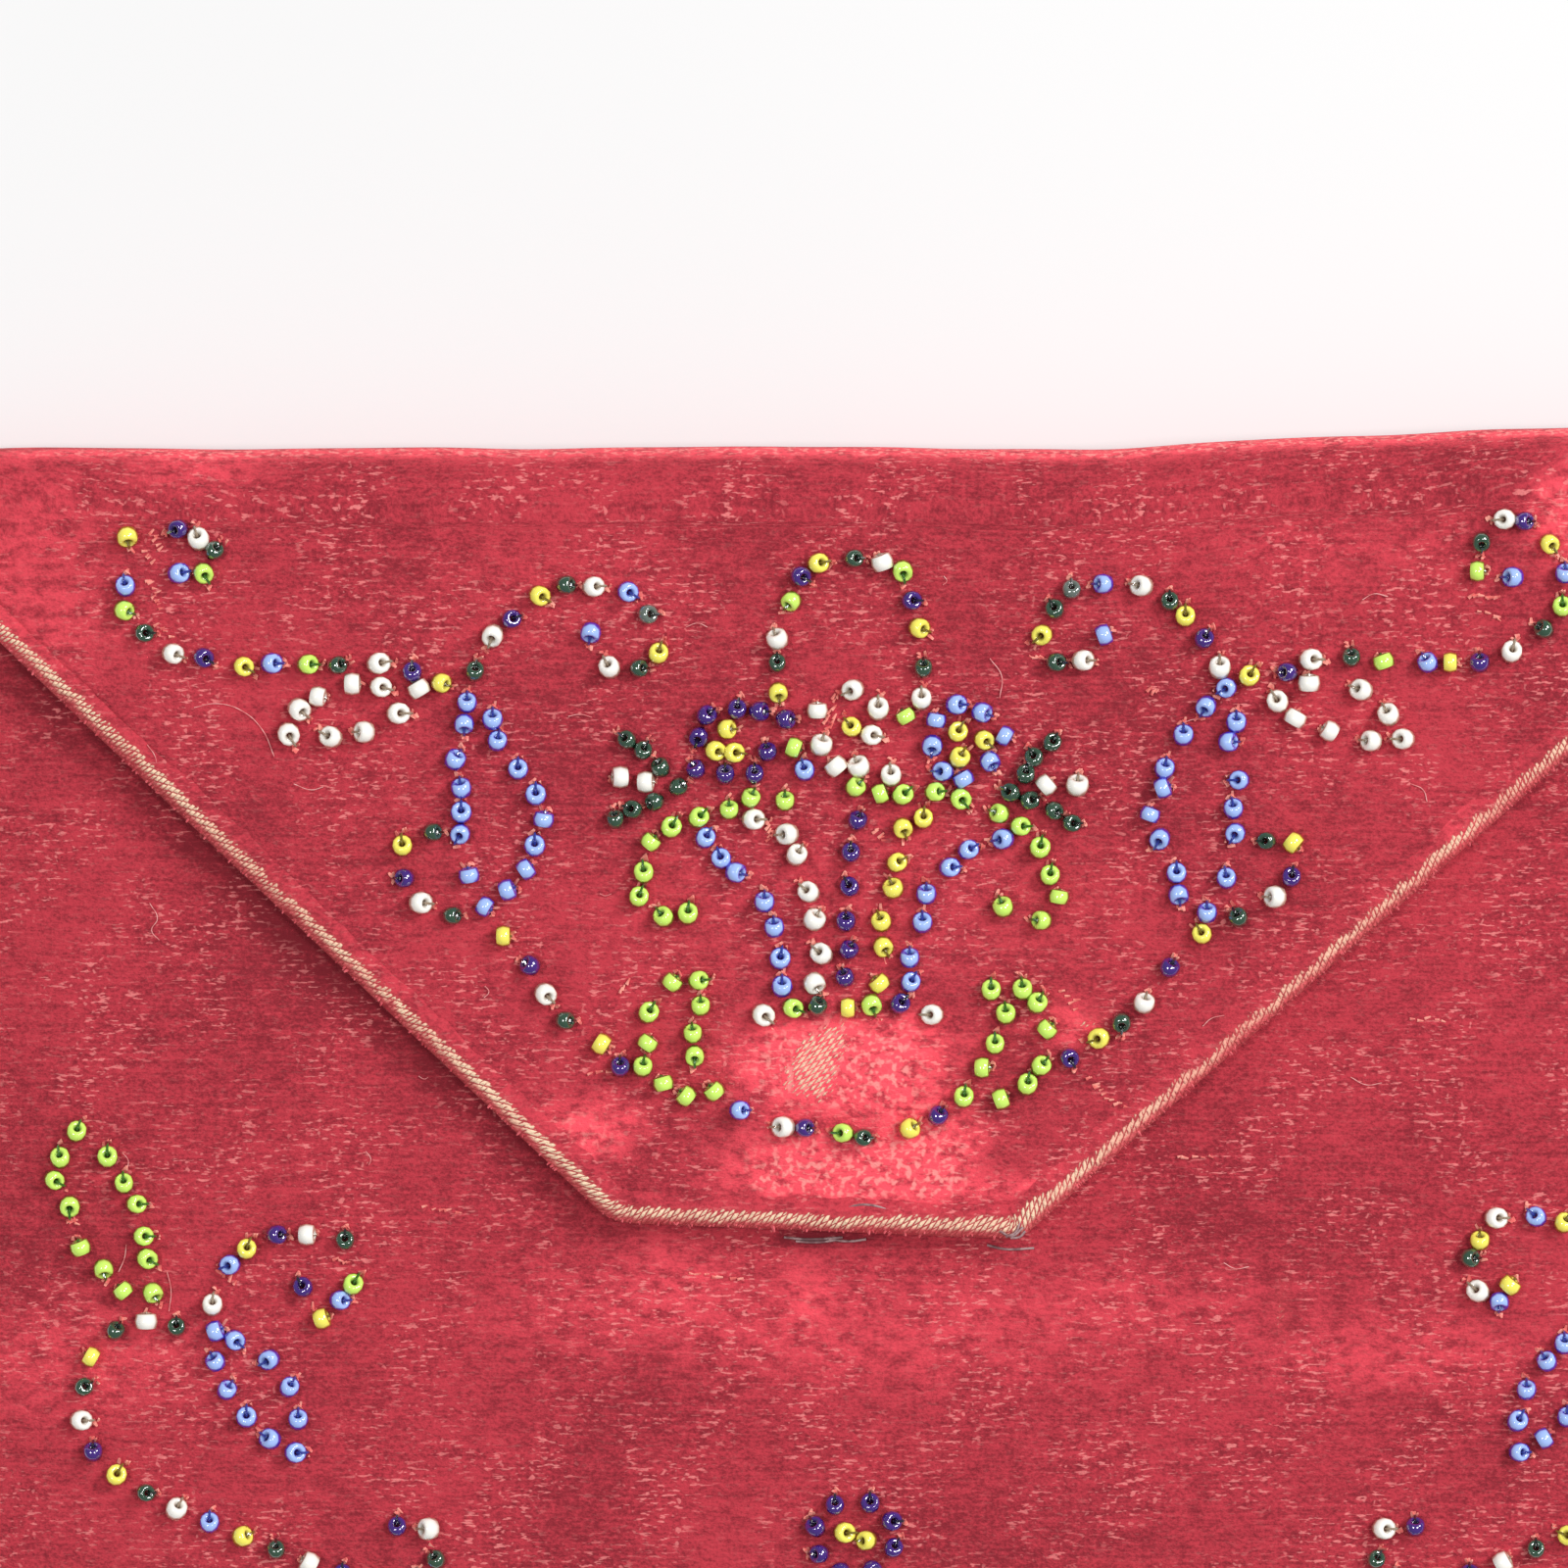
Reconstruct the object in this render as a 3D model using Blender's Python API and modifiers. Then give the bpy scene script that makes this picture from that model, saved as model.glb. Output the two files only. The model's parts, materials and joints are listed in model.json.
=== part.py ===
"""A beaded velvet clutch that lies on its back, modelled for Blender 4.5.

The bag lies on the XY plane with its front up: +X runs across it, +Y points to the fold along its
top edge and +Z points up. Each panel is a velvet outside, a stiffener and a satin lining, stacked
with a small gap. The flap turns about the outer line of the top fold. The beads are strings that
follow the panels. All lengths are in metres.
"""
import math

import bmesh
import bpy
from mathutils import Vector

# The bag
WIDTH = 0.197
LENGTH = 0.137
CAVITY = 0.0062
CORNER_RADIUS = 0.007
CROWN_POWER = 6

# The layers of a panel
VELVET = 0.0010
INTERLINING = 0.0008
LINING = 0.0004
GAP = 0.0003
EDGE_ROLL = 0.0040
LINING_INSET = 0.0050

# The turned hem of the mouth and of the flap
HEM = 0.0013
HEM_SLOPE = 0.0003
HEM_TO_LINING = 0.0027

# The mouth and the fold
MOUTH_DROP = 0.0145
FOLD_DEPTH = 0.0090
FOLD_RUN_SHARE = 0.1
FOLD_STEPS = 8

# The flap
FLAP_LENGTH = 0.0798
FLAP_GAP = 0.0005
FLAP_LEFT_END = 0.0245
FLAP_RIGHT_END = 0.0170
FLAP_TIP_SLANT = 0.0017

# The press stud
SNAP_X = -0.0040
SNAP_FROM_TIP = 0.0163
SNAP_RADIUS = 0.0060
SNAP_SEAT = 0.0070
SNAP_SPREAD = 0.0125
SNAP_PLATE = 0.0005
SNAP_DOME = 0.0009
SNAP_FLANGE = 0.0005
SNAP_WALL = 0.0003
SNAP_DOME_RADIUS = 0.0034
SNAP_MOUTH_RADIUS = 0.0021
SNAP_BALL_RADIUS = 0.0014
SNAP_NECK_RADIUS = 0.0009
SNAP_WIRE = 0.0002
SNAP_STEPS = 20

# Threads
THREAD = 0.0003
SEAM_THREAD = 0.0005
SEAM_THREAD_INSET = 0.0028
STITCH_LENGTH = 0.0030
STITCHES_ROUND_SNAP = 12

# Beads
BEAD_WIDTH = 0.0020
BEAD_FLAT = 0.0008
BEAD_LENGTH = 0.0017
BEAD_THREAD_SHARE = 0.22
SHARP_TURN_SHARE = 0.35

# Where the pattern was read: pixels of the photograph
PHOTO_CENTRE_X = 870
PHOTO_WIDTH = 1970
PHOTO_FOLD_Y = 455
PHOTO_FLAP_LENGTH = 798
PHOTO_LENGTH = 1370
PHOTO_PIXEL = 0.0001
FRONT_MIRROR_X = 925

# Where each panel is scored, as shares of its half width and half length
WIDTH_SHARES = (-0.9, -0.75, -0.5, 0.0, 0.5, 0.75, 0.9)
LENGTH_SHARES = (-0.9, -0.75, -0.5, -0.2, 0.45)
ROLL_SHARES = (0.3, 1.0)
CORNER_TURN_SHARES = (0.25, 0.5, 0.75)

# Sizes that follow from the ones above
HALF_WIDTH = WIDTH / 2
HALF_LENGTH = LENGTH / 2
PANEL = VELVET + INTERLINING + LINING + 2 * GAP
JOINT_Y = HALF_LENGTH - FOLD_DEPTH
MOUTH_Y = HALF_LENGTH - MOUTH_DROP
FLAP_TIP_Y = HALF_LENGTH - FLAP_LENGTH
SNAP_Y = FLAP_TIP_Y + SNAP_FROM_TIP
SNAP_STACK = SNAP_PLATE + SNAP_DOME + SNAP_FLANGE + 3 * GAP
SNAP_LIFT = (SNAP_STACK - FLAP_GAP) / 2
PRESSED_PANELS = 3 * PANEL + GAP + FLAP_GAP
HINGE_Z = (PRESSED_PANELS + CAVITY + SNAP_LIFT + GAP + BEAD_WIDTH) / 2
HINGE_Y = HALF_LENGTH

# The beads of each motif, in the order they are strung, as pixels of the photograph
FLAP_MOTIFS = {
    "upper_garland_left": (
        (183, 585), (208, 585), (219, 562), (203, 550), (182, 540), (155, 538), (130, 548),
        (122, 573), (128, 599), (127, 623), (147, 646), (177, 667), (207, 671), (249, 680),
        (277, 677), (315, 679), (345, 676), (386, 675), (421, 680), (452, 695), (485, 685),
        (503, 650), (522, 633), (551, 607), (578, 597), (606, 599), (641, 604), (662, 626),
        (674, 656), (652, 683), (623, 681), (603, 646),
    ),
    "upper_garland_right": (
        (1542, 589), (1507, 584), (1508, 552), (1530, 531), (1556, 530), (1581, 553),
        (1596, 586), (1594, 619), (1576, 642), (1542, 664), (1509, 675), (1479, 677),
        (1455, 676), (1411, 675), (1378, 669), (1338, 671), (1314, 683), (1274, 691),
        (1243, 679), (1228, 652), (1209, 629), (1192, 614), (1164, 598), (1126, 596),
        (1093, 601), (1076, 622), (1063, 648), (1077, 674), (1105, 674), (1126, 648),
    ),
    "white_leaf_left": (
        (295, 749), (306, 724), (327, 711), (361, 701), (392, 702), (430, 705), (412, 729),
        (372, 747), (338, 752),
    ),
    "white_leaf_right": (
        (1304, 715), (1321, 733), (1356, 746), (1398, 756), (1430, 753), (1416, 728),
        (1388, 704), (1335, 698),
    ),
    "blue_leaf_left": (
        (479, 717), (474, 738), (464, 776), (471, 804), (470, 829), (469, 850), (478, 893),
        (496, 925), (518, 908), (537, 887), (546, 862), (555, 836), (547, 811), (529, 785),
        (508, 756), (503, 734),
    ),
    "blue_leaf_right": (
        (1230, 720), (1207, 750), (1189, 783), (1183, 807), (1178, 831), (1185, 855),
        (1198, 887), (1205, 913), (1230, 931), (1251, 896), (1260, 872), (1258, 825),
        (1265, 796), (1253, 756), (1261, 734), (1253, 704),
    ),
    "lower_garland": (
        (442, 849), (411, 863), (413, 896), (430, 921), (462, 934), (515, 955), (541, 985),
        (557, 1014), (577, 1041), (614, 1065), (633, 1088), (656, 1088), (676, 1105),
        (699, 1118), (729, 1113), (756, 1133), (799, 1149), (821, 1150), (858, 1155),
        (881, 1160), (928, 1151), (957, 1138), (983, 1119), (1021, 1121), (1049, 1105),
        (1064, 1087), (1091, 1079), (1122, 1059), (1144, 1042), (1167, 1023), (1194, 987),
        (1226, 956), (1264, 935), (1300, 915), (1317, 894), (1319, 860), (1292, 858),
    ),
    "lime_leaf_left": (
        (658, 1063), (665, 1033), (687, 1006), (713, 1000), (720, 1026), (707, 1054),
        (709, 1076),
    ),
    "lime_leaf_right": (
        (1002, 1089), (1015, 1065), (1022, 1036), (1011, 1010), (1040, 1008), (1061, 1023),
        (1068, 1049),
    ),
    "basket_handle": (
        (793, 707), (793, 677), (792, 648), (807, 614), (817, 589), (839, 573), (870, 570),
        (901, 573), (921, 587), (931, 613), (938, 642), (942, 682), (940, 711), (922, 731),
    ),
    "cobalt_flower": (
        (720, 728), (711, 752), (710, 785), (738, 792), (767, 789), (784, 765), (801, 734),
        (776, 723), (750, 719), (739, 744), (733, 767), (756, 767),
    ),
    "white_flower": (
        (909, 791), (876, 782), (849, 784), (838, 758), (834, 725), (867, 708), (897, 722),
        (893, 751), (868, 745),
    ),
    "sky_flower": (
        (1002, 727), (1026, 750), (1012, 778), (984, 796), (961, 788), (950, 761), (955, 735),
        (976, 719), (977, 745), (981, 771), (1002, 755),
    ),
    "lime_frond_left": (
        (810, 761), (821, 788), (800, 817), (767, 815), (745, 826), (713, 832), (685, 844),
        (664, 855), (657, 890), (651, 916), (677, 937), (703, 932),
    ),
    "lime_frond_right": (
        (873, 808), (899, 812), (923, 812), (954, 812), (980, 819), (1017, 832), (1042, 847),
        (1063, 867), (1073, 893), (1080, 918), (1060, 942), (1023, 927),
    ),
    "green_sprig_left": (
        (640, 755), (656, 768), (676, 784), (692, 803), (671, 819), (648, 825), (625, 839),
        (615, 808), (640, 797),
    ),
    "green_sprig_right": (
        (1073, 758), (1055, 771), (1043, 790), (1030, 809), (1049, 819), (1072, 827),
        (1097, 842), (1108, 808), (1080, 798),
    ),
    "basket_stave_1": (
        (721, 857), (733, 878), (753, 892), (780, 921), (790, 946), (796, 979), (798, 1005),
    ),
    "basket_stave_2": (
        (769, 838), (803, 851), (813, 875), (825, 910), (831, 938), (838, 973), (831, 1002),
    ),
    "basket_stave_3": (
        (875, 837), (868, 870), (867, 905), (862, 940), (866, 969), (862, 997),
    ),
    "basket_stave_4": (
        (942, 838), (921, 850), (914, 879), (911, 907), (899, 940), (901, 966), (897, 1001),
    ),
    "basket_stave_5": (
        (1022, 857), (989, 867), (969, 887), (945, 913), (941, 941), (927, 975), (929, 1002),
    ),
    "basket_rim": (
        (778, 1037), (809, 1030), (834, 1028), (862, 1030), (889, 1028), (918, 1027), (951, 1035),
    ),
}
LEFT_MOTIFS = {
    "front_leaf_left": (
        (123, 1320), (103, 1298), (80, 1275), (67, 1233), (52, 1206), (57, 1180), (77, 1158),
        (107, 1182), (124, 1209), (137, 1230), (145, 1263), (148, 1290), (154, 1322),
    ),
    "front_scroll_left": (
        (91, 1387), (116, 1360), (147, 1350), (178, 1356), (215, 1333), (234, 1291),
        (252, 1272), (280, 1262), (312, 1259), (351, 1268), (361, 1298), (349, 1329),
        (323, 1349), (305, 1317),
    ),
    "front_blue_leaf_left": (
        (240, 1369), (274, 1389), (294, 1417), (303, 1450), (300, 1484), (274, 1470),
        (250, 1448), (230, 1420), (218, 1391), (216, 1359),
    ),
    "front_swag_left": (
        (82, 1418), (80, 1452), (92, 1484), (116, 1508), (146, 1526), (178, 1542), (212, 1556),
        (246, 1570), (280, 1584), (314, 1597), (348, 1609), (383, 1616), (418, 1614),
        (444, 1594), (436, 1562), (404, 1560),
    ),
}
FRONT_SCROLL_RIGHT = (
    (1543, 1313), (1532, 1338), (1504, 1319), (1501, 1285), (1512, 1260), (1538, 1244),
    (1570, 1242), (1599, 1249), (1626, 1265), (1644, 1291), (1657, 1322), (1688, 1340),
    (1718, 1352), (1748, 1366),
)
FRONT_BLUE_LEAF_RIGHT = (
    (1597, 1372), (1580, 1393), (1560, 1420), (1551, 1452), (1553, 1484), (1578, 1470),
    (1602, 1448), (1620, 1422), (1634, 1393), (1630, 1362),
)
FRONT_FLOWER = (
    (888, 1536), (910, 1554), (912, 1582), (890, 1604), (858, 1606), (836, 1588), (832, 1560),
    (852, 1538), (862, 1566), (884, 1574),
)

# The middle of each spray on the front, as pixels: the left, the flower and the right
SPRAY_MIDDLES = ((200, 1400), (872, 1571), (1650, 1400))

# Colours and sheens
CRIMSON = (0.44, 0.03, 0.05)
RIBBON_RED = (0.36, 0.02, 0.04)
CANVAS = (0.72, 0.62, 0.48)
SATIN = (0.52, 0.05, 0.08)
THREAD_RED = (0.30, 0.02, 0.03)
STEEL = (0.55, 0.55, 0.56)
IVORY = (0.86, 0.82, 0.72)
YELLOW = (0.82, 0.56, 0.06)
LIME = (0.45, 0.66, 0.12)
SKY = (0.20, 0.50, 0.70)
COBALT = (0.03, 0.06, 0.42)
DARK_GREEN = (0.02, 0.16, 0.07)
PILE_ROUGHNESS = 0.9
SATIN_ROUGHNESS = 0.35
METAL_ROUGHNESS = 0.3
GLASS_ROUGHNESS = 0.15

MOTIF_COLOURS = {
    "upper_garland_left": IVORY,
    "upper_garland_right": IVORY,
    "white_leaf_left": IVORY,
    "white_leaf_right": IVORY,
    "blue_leaf_left": SKY,
    "blue_leaf_right": SKY,
    "lower_garland": YELLOW,
    "lime_leaf_left": LIME,
    "lime_leaf_right": LIME,
    "basket_handle": YELLOW,
    "cobalt_flower": COBALT,
    "white_flower": IVORY,
    "sky_flower": SKY,
    "lime_frond_left": LIME,
    "lime_frond_right": LIME,
    "green_sprig_left": DARK_GREEN,
    "green_sprig_right": DARK_GREEN,
    "basket_stave_1": SKY,
    "basket_stave_2": IVORY,
    "basket_stave_3": COBALT,
    "basket_stave_4": YELLOW,
    "basket_stave_5": SKY,
    "basket_rim": IVORY,
    "front_leaf_left": LIME,
    "front_leaf_right": LIME,
    "front_scroll_left": YELLOW,
    "front_scroll_right": YELLOW,
    "front_blue_leaf_left": SKY,
    "front_blue_leaf_right": SKY,
    "front_swag_left": DARK_GREEN,
    "front_swag_right": DARK_GREEN,
    "front_flower": COBALT,
}


def empty_scene():
    """Remove whatever the file holds."""
    for item in list(bpy.data.objects):
        bpy.data.objects.remove(item, do_unlink=True)


def make_collection(name):
    """Return a new collection linked to the scene."""
    group = bpy.data.collections.new(name)
    bpy.context.scene.collection.children.link(group)
    return group


def make_material(name, colour, roughness, metallic=0.0):
    """Return a Principled material of one colour."""
    material = bpy.data.materials.new(name)
    material.use_nodes = True
    shader = material.node_tree.nodes["Principled BSDF"]
    shader.inputs["Base Color"].default_value = (*colour, 1.0)
    shader.inputs["Roughness"].default_value = roughness
    shader.inputs["Metallic"].default_value = metallic
    material.diffuse_color = (*colour, 1.0)
    return material


def hill(x, y):
    """How far the panels part over the press stud, from 0 well away to 1 on its seat."""
    reach = max(abs(x - SNAP_X), abs(y - SNAP_Y))
    share = (SNAP_SPREAD - reach) / (SNAP_SPREAD - SNAP_SEAT)
    share = min(1, max(0, share))
    return share * share * (3 - 2 * share)


def crown(x, y):
    """How full the pouch is, from 0 at its seams to 1 over its middle and up to the mouth."""
    across = min(1, abs(x) / HALF_WIDTH) ** CROWN_POWER
    along = min(1, max(0, -y) / HALF_LENGTH) ** CROWN_POWER
    return (1 - across) * (1 - along)


def pouch_swell(x, y):
    """The pouch's inner height at a place, without the dent of the press stud."""
    return PANEL + GAP + CAVITY * crown(x, y)


def front_low(x, y):
    """The underside of the front panel's lining."""
    return pouch_swell(x, y) - SNAP_LIFT * hill(x, y)


def front_top(x, y):
    """The outside of the front panel."""
    return front_low(x, y) + PANEL


def flap_low(x, y):
    """The underside of the flap's lining."""
    return pouch_swell(x, y) + PANEL + FLAP_GAP + SNAP_LIFT * hill(x, y)


def flap_top(x, y):
    """The outside of the flap."""
    return flap_low(x, y) + PANEL


def seam_distance(x, y):
    """How far inside the side and bottom seams a place is, with round lower corners."""
    across = HALF_WIDTH - abs(x)
    along = y + HALF_LENGTH
    if across < CORNER_RADIUS and along < CORNER_RADIUS:
        return CORNER_RADIUS - math.hypot(CORNER_RADIUS - across, CORNER_RADIUS - along)
    return min(across, along)


def rolled(x, y):
    """How far the front velvet has risen from the seam, from 0 to 1, as a quarter round."""
    share = min(1, max(0, seam_distance(x, y)) / EDGE_ROLL)
    return math.sqrt(1 - (1 - share) ** 2)


def add_mesh(group, name, bm, material):
    """Make an object of a finished bmesh."""
    bmesh.ops.recalc_face_normals(bm, faces=bm.faces[:])
    mesh = bpy.data.meshes.new(name)
    bm.to_mesh(mesh)
    bm.free()
    mesh.materials.append(material)
    made = bpy.data.objects.new(name, mesh)
    group.objects.link(made)
    return made


def cut_sheet(low_corner, high_corner, trims, scores):
    """Return a flat sheet: a rectangle trimmed and scored by straight lines in plan.

    A line is a point and the direction square to it. A trim removes what lies beyond it, and a
    score only adds points for the sheet to bend at.
    """
    bm = bmesh.new()
    bmesh.ops.create_grid(bm, x_segments=1, y_segments=1, size=1)
    middle = [(a + b) / 2 for a, b in zip(low_corner, high_corner)]
    half = [(b - a) / 2 for a, b in zip(low_corner, high_corner)]
    bmesh.ops.scale(bm, vec=(half[0], half[1], 1), verts=bm.verts[:])
    bmesh.ops.translate(bm, vec=(middle[0], middle[1], 0), verts=bm.verts[:])
    for lines, clear in ((trims, True), (scores, False)):
        for point, across in lines:
            everything = bm.verts[:] + bm.edges[:] + bm.faces[:]
            bmesh.ops.bisect_plane(
                bm, geom=everything, dist=GAP / 100, clear_outer=clear,
                plane_co=(*point, 0), plane_no=(*across, 0),
            )
    split_alike(bm)
    return bm


def split_alike(bm):
    """Split every face into triangles, with each four-sided one cut along its rising diagonal.

    Layers that share their lines are then split the same way, and follow each other.
    """
    for face in [face for face in bm.faces if len(face.verts) == 4]:
        low, *_, high = sorted(face.verts, key=lambda vert: vert.co.x + vert.co.y)
        if not bm.edges.get((low, high)):
            bmesh.utils.face_split(face, low, high)
    bmesh.ops.triangulate(bm, faces=bm.faces[:])


def add_slab(group, name, bm, low, high, material):
    """Give a flat sheet an underside and a top, which are functions of the place in plan."""
    grown = bmesh.ops.extrude_face_region(bm, geom=bm.faces[:])
    tops = [item for item in grown["geom"] if isinstance(item, bmesh.types.BMVert)]
    raised = set(tops)
    for vert in bm.verts:
        x, y = vert.co.x, vert.co.y
        vert.co.z = high(x, y) if vert in raised else low(x, y)
    return add_mesh(group, name, bm, material)


def snap_scores():
    """The lines that the panels bend at round the press stud."""
    lines = []
    for reach in (SNAP_SEAT, SNAP_SPREAD):
        for side in (-1, 1):
            lines.append(((SNAP_X + side * reach, 0), (1, 0)))
            lines.append(((0, SNAP_Y + side * reach), (0, 1)))
    return lines


def crown_scores():
    """The lines that every panel bends at, so that the layers follow each other."""
    lines = [((share * HALF_WIDTH, 0), (1, 0)) for share in WIDTH_SHARES]
    lines += [((0, share * HALF_LENGTH), (0, 1)) for share in LENGTH_SHARES]
    return lines + snap_scores()


def roll_scores():
    """The lines along the sides and the bottom that the rolled seam bends at."""
    lines = []
    for share in ROLL_SHARES:
        inset = share * EDGE_ROLL
        lines.append(((HALF_WIDTH - inset, 0), (1, 0)))
        lines.append(((inset - HALF_WIDTH, 0), (1, 0)))
        lines.append(((0, inset - HALF_LENGTH), (0, 1)))
    return lines


def corner_trims(inset):
    """The straight cuts that round the pouch's lower corners, at an inset from the seam."""
    radius = CORNER_RADIUS - min(inset, CORNER_RADIUS / 2)
    lines = []
    for side in (-1, 1):
        middle_x = side * (HALF_WIDTH - inset - radius)
        middle_y = inset + radius - HALF_LENGTH
        for share in CORNER_TURN_SHARES:
            turn = share * math.pi / 2
            across = (side * math.cos(turn), -math.sin(turn))
            point = (middle_x + radius * across[0], middle_y + radius * across[1])
            lines.append((point, across))
    return lines


def pouch_sheet(inset, top, scores):
    """Return the flat sheet of a pouch panel, a little inside its seams and up to a top edge."""
    low_corner = (inset - HALF_WIDTH, inset - HALF_LENGTH)
    high_corner = (HALF_WIDTH - inset, top)
    return cut_sheet(low_corner, high_corner, corner_trims(inset), scores)


def flap_edges():
    """The flap's three free edges, each a point and the outward direction square to it."""
    upper_left = Vector((-HALF_WIDTH, JOINT_Y))
    upper_right = Vector((HALF_WIDTH, JOINT_Y))
    lower_left = Vector((-FLAP_LEFT_END, FLAP_TIP_Y + FLAP_TIP_SLANT / 2))
    lower_right = Vector((FLAP_RIGHT_END, FLAP_TIP_Y - FLAP_TIP_SLANT / 2))
    edges = []
    for start, end in (
        (upper_left, lower_left), (lower_left, lower_right), (lower_right, upper_right),
    ):
        along = (end - start).normalized()
        edges.append((start, Vector((along.y, -along.x))))
    return edges


def flap_edge_distance(x, y):
    """How far inside the flap's free edges a place is."""
    place = Vector((x, y))
    return min((point - place).dot(across) for point, across in flap_edges())


def flap_sheet(inset, scores):
    """Return the flat sheet of a flap layer, a little inside the free edges."""
    trims = [(point - across * inset, across) for point, across in flap_edges()]
    low_corner = (-HALF_WIDTH, FLAP_TIP_Y - FLAP_TIP_SLANT)
    return cut_sheet(low_corner, (HALF_WIDTH, JOINT_Y), trims, scores)


def fold_place(x, share, depth):
    """A place on the fold over the top edge.

    The share goes from 0 at the back panel to 1 at the flap, and the depth is measured inwards
    from the outside of the velvet.
    """
    radius = flap_top(x, JOINT_Y) / 2
    start = JOINT_Y + GAP
    turn_y = HALF_LENGTH - radius
    if share <= FOLD_RUN_SHARE:
        return start + (turn_y - start) * share / FOLD_RUN_SHARE, depth
    if share >= 1 - FOLD_RUN_SHARE:
        left = (1 - share) / FOLD_RUN_SHARE
        return start + (turn_y - start) * left, 2 * radius - depth
    turn = math.pi * ((share - FOLD_RUN_SHARE) / (1 - 2 * FOLD_RUN_SHARE) - 1 / 2)
    reach = radius - depth
    return turn_y + reach * math.cos(turn), radius + reach * math.sin(turn)


def add_fold(group, name, half_width, depth, thickness, material):
    """Add one layer of the fold: a strip that runs from the back panel over to the flap."""
    turns = [
        FOLD_RUN_SHARE + (1 - 2 * FOLD_RUN_SHARE) * step / FOLD_STEPS
        for step in range(FOLD_STEPS + 1)
    ]
    scores = [((share * HALF_WIDTH, 0), (1, 0)) for share in WIDTH_SHARES]
    scores += [((0, share), (0, 1)) for share in turns]
    bm = cut_sheet((-half_width, 0), (half_width, 1), [], scores)
    grown = bmesh.ops.extrude_face_region(bm, geom=bm.faces[:])
    inner = {item for item in grown["geom"] if isinstance(item, bmesh.types.BMVert)}
    for vert in bm.verts:
        x, share = vert.co.x, vert.co.y
        y, z = fold_place(x, share, depth + thickness if vert in inner else depth)
        vert.co = (x, y, z)
    return add_mesh(group, name, bm, material)


def add_wire(group, name, points, diameter, material, shares=None):
    """Add a thread or wire along straight runs between points, with its radius as shares."""
    curve = bpy.data.curves.new(name, "CURVE")
    curve.dimensions = "3D"
    curve.twist_mode = "Z_UP"
    curve.bevel_depth = diameter / 2
    curve.bevel_resolution = 0
    curve.use_fill_caps = True
    spline = curve.splines.new("POLY")
    spline.points.add(len(points) - 1)
    for index, point in enumerate(points):
        spline.points[index].co = (*point, 1)
        spline.points[index].radius = shares[index] if shares else 1
    curve.materials.append(material)
    made = bpy.data.objects.new(name, curve)
    group.objects.link(made)
    return made


def flap_place(pixel):
    """Turn a pixel of the photograph into a place in plan on the flap."""
    x = (pixel[0] - PHOTO_CENTRE_X) / PHOTO_WIDTH * WIDTH
    along = (pixel[1] - PHOTO_FOLD_Y) / PHOTO_FLAP_LENGTH * FLAP_LENGTH
    return Vector((x, HALF_LENGTH - along))


def front_place(pixel):
    """Turn a pixel of the photograph into a place in plan on the front.

    The motifs of a side keep together: the middle of their spray moves with the panel's sizes, and
    the beads round it keep the size of the real ones.
    """
    middle_x, middle_y = min(SPRAY_MIDDLES, key=lambda middle: abs(pixel[0] - middle[0]))
    x = (middle_x - PHOTO_CENTRE_X) / PHOTO_WIDTH * WIDTH
    along = (middle_y - PHOTO_FOLD_Y) / PHOTO_LENGTH * LENGTH
    offset = Vector((pixel[0] - middle_x, middle_y - pixel[1]))
    return Vector((x, HALF_LENGTH - along)) + offset * PHOTO_PIXEL


def is_sharp(before, place, after):
    """Whether the string turns back so far at a bead that the bead needs short ends."""
    turn = (place - before).normalized().dot((after - place).normalized())
    return turn < SHARP_TURN_SHARE


def add_bead_string(group, name, places, surface, material):
    """Add one motif: beads on their thread, lying on a panel."""
    last = len(places) - 1
    points = []
    shares = []

    def lay(place, share):
        """Add a point of the string at its height over the panel."""
        height = surface(place.x, place.y) + GAP + BEAD_WIDTH / 2
        points.append((place.x, place.y, height))
        shares.append(share)

    for index, place in enumerate(places):
        before = places[max(index - 1, 0)]
        after = places[min(index + 1, last)]
        along = (after - before).normalized()
        if index > 0:
            lay((before + place) / 2, BEAD_THREAD_SHARE)
        sharp = index in (0, last) or is_sharp(before, place, after)
        if sharp:
            lay(place - along * BEAD_LENGTH / 2, BEAD_THREAD_SHARE)
        lay(place - along * BEAD_FLAT / 2, 1)
        lay(place + along * BEAD_FLAT / 2, 1)
        if sharp:
            lay(place + along * BEAD_LENGTH / 2, BEAD_THREAD_SHARE)
    return add_wire(group, name, points, BEAD_WIDTH, material, shares)


def mirrored(pixels):
    """Return a front motif turned over to the other side of the front."""
    return tuple((2 * FRONT_MIRROR_X - x, y) for x, y in pixels)


def make_back(group, velvet, canvas, satin):
    """Make the back panel's three layers."""
    layers = (
        ("back_velvet", 0, 0, VELVET, velvet),
        ("back_interlining", LINING_INSET, VELVET + GAP, INTERLINING, canvas),
        ("back_lining", LINING_INSET, PANEL - LINING, LINING, satin),
    )
    for name, inset, low, thickness, material in layers:
        sheet = pouch_sheet(inset, JOINT_Y, [])
        add_slab(
            group, name, sheet,
            lambda x, y, low=low: low,
            lambda x, y, low=low, thickness=thickness: low + thickness, material,
        )


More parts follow.
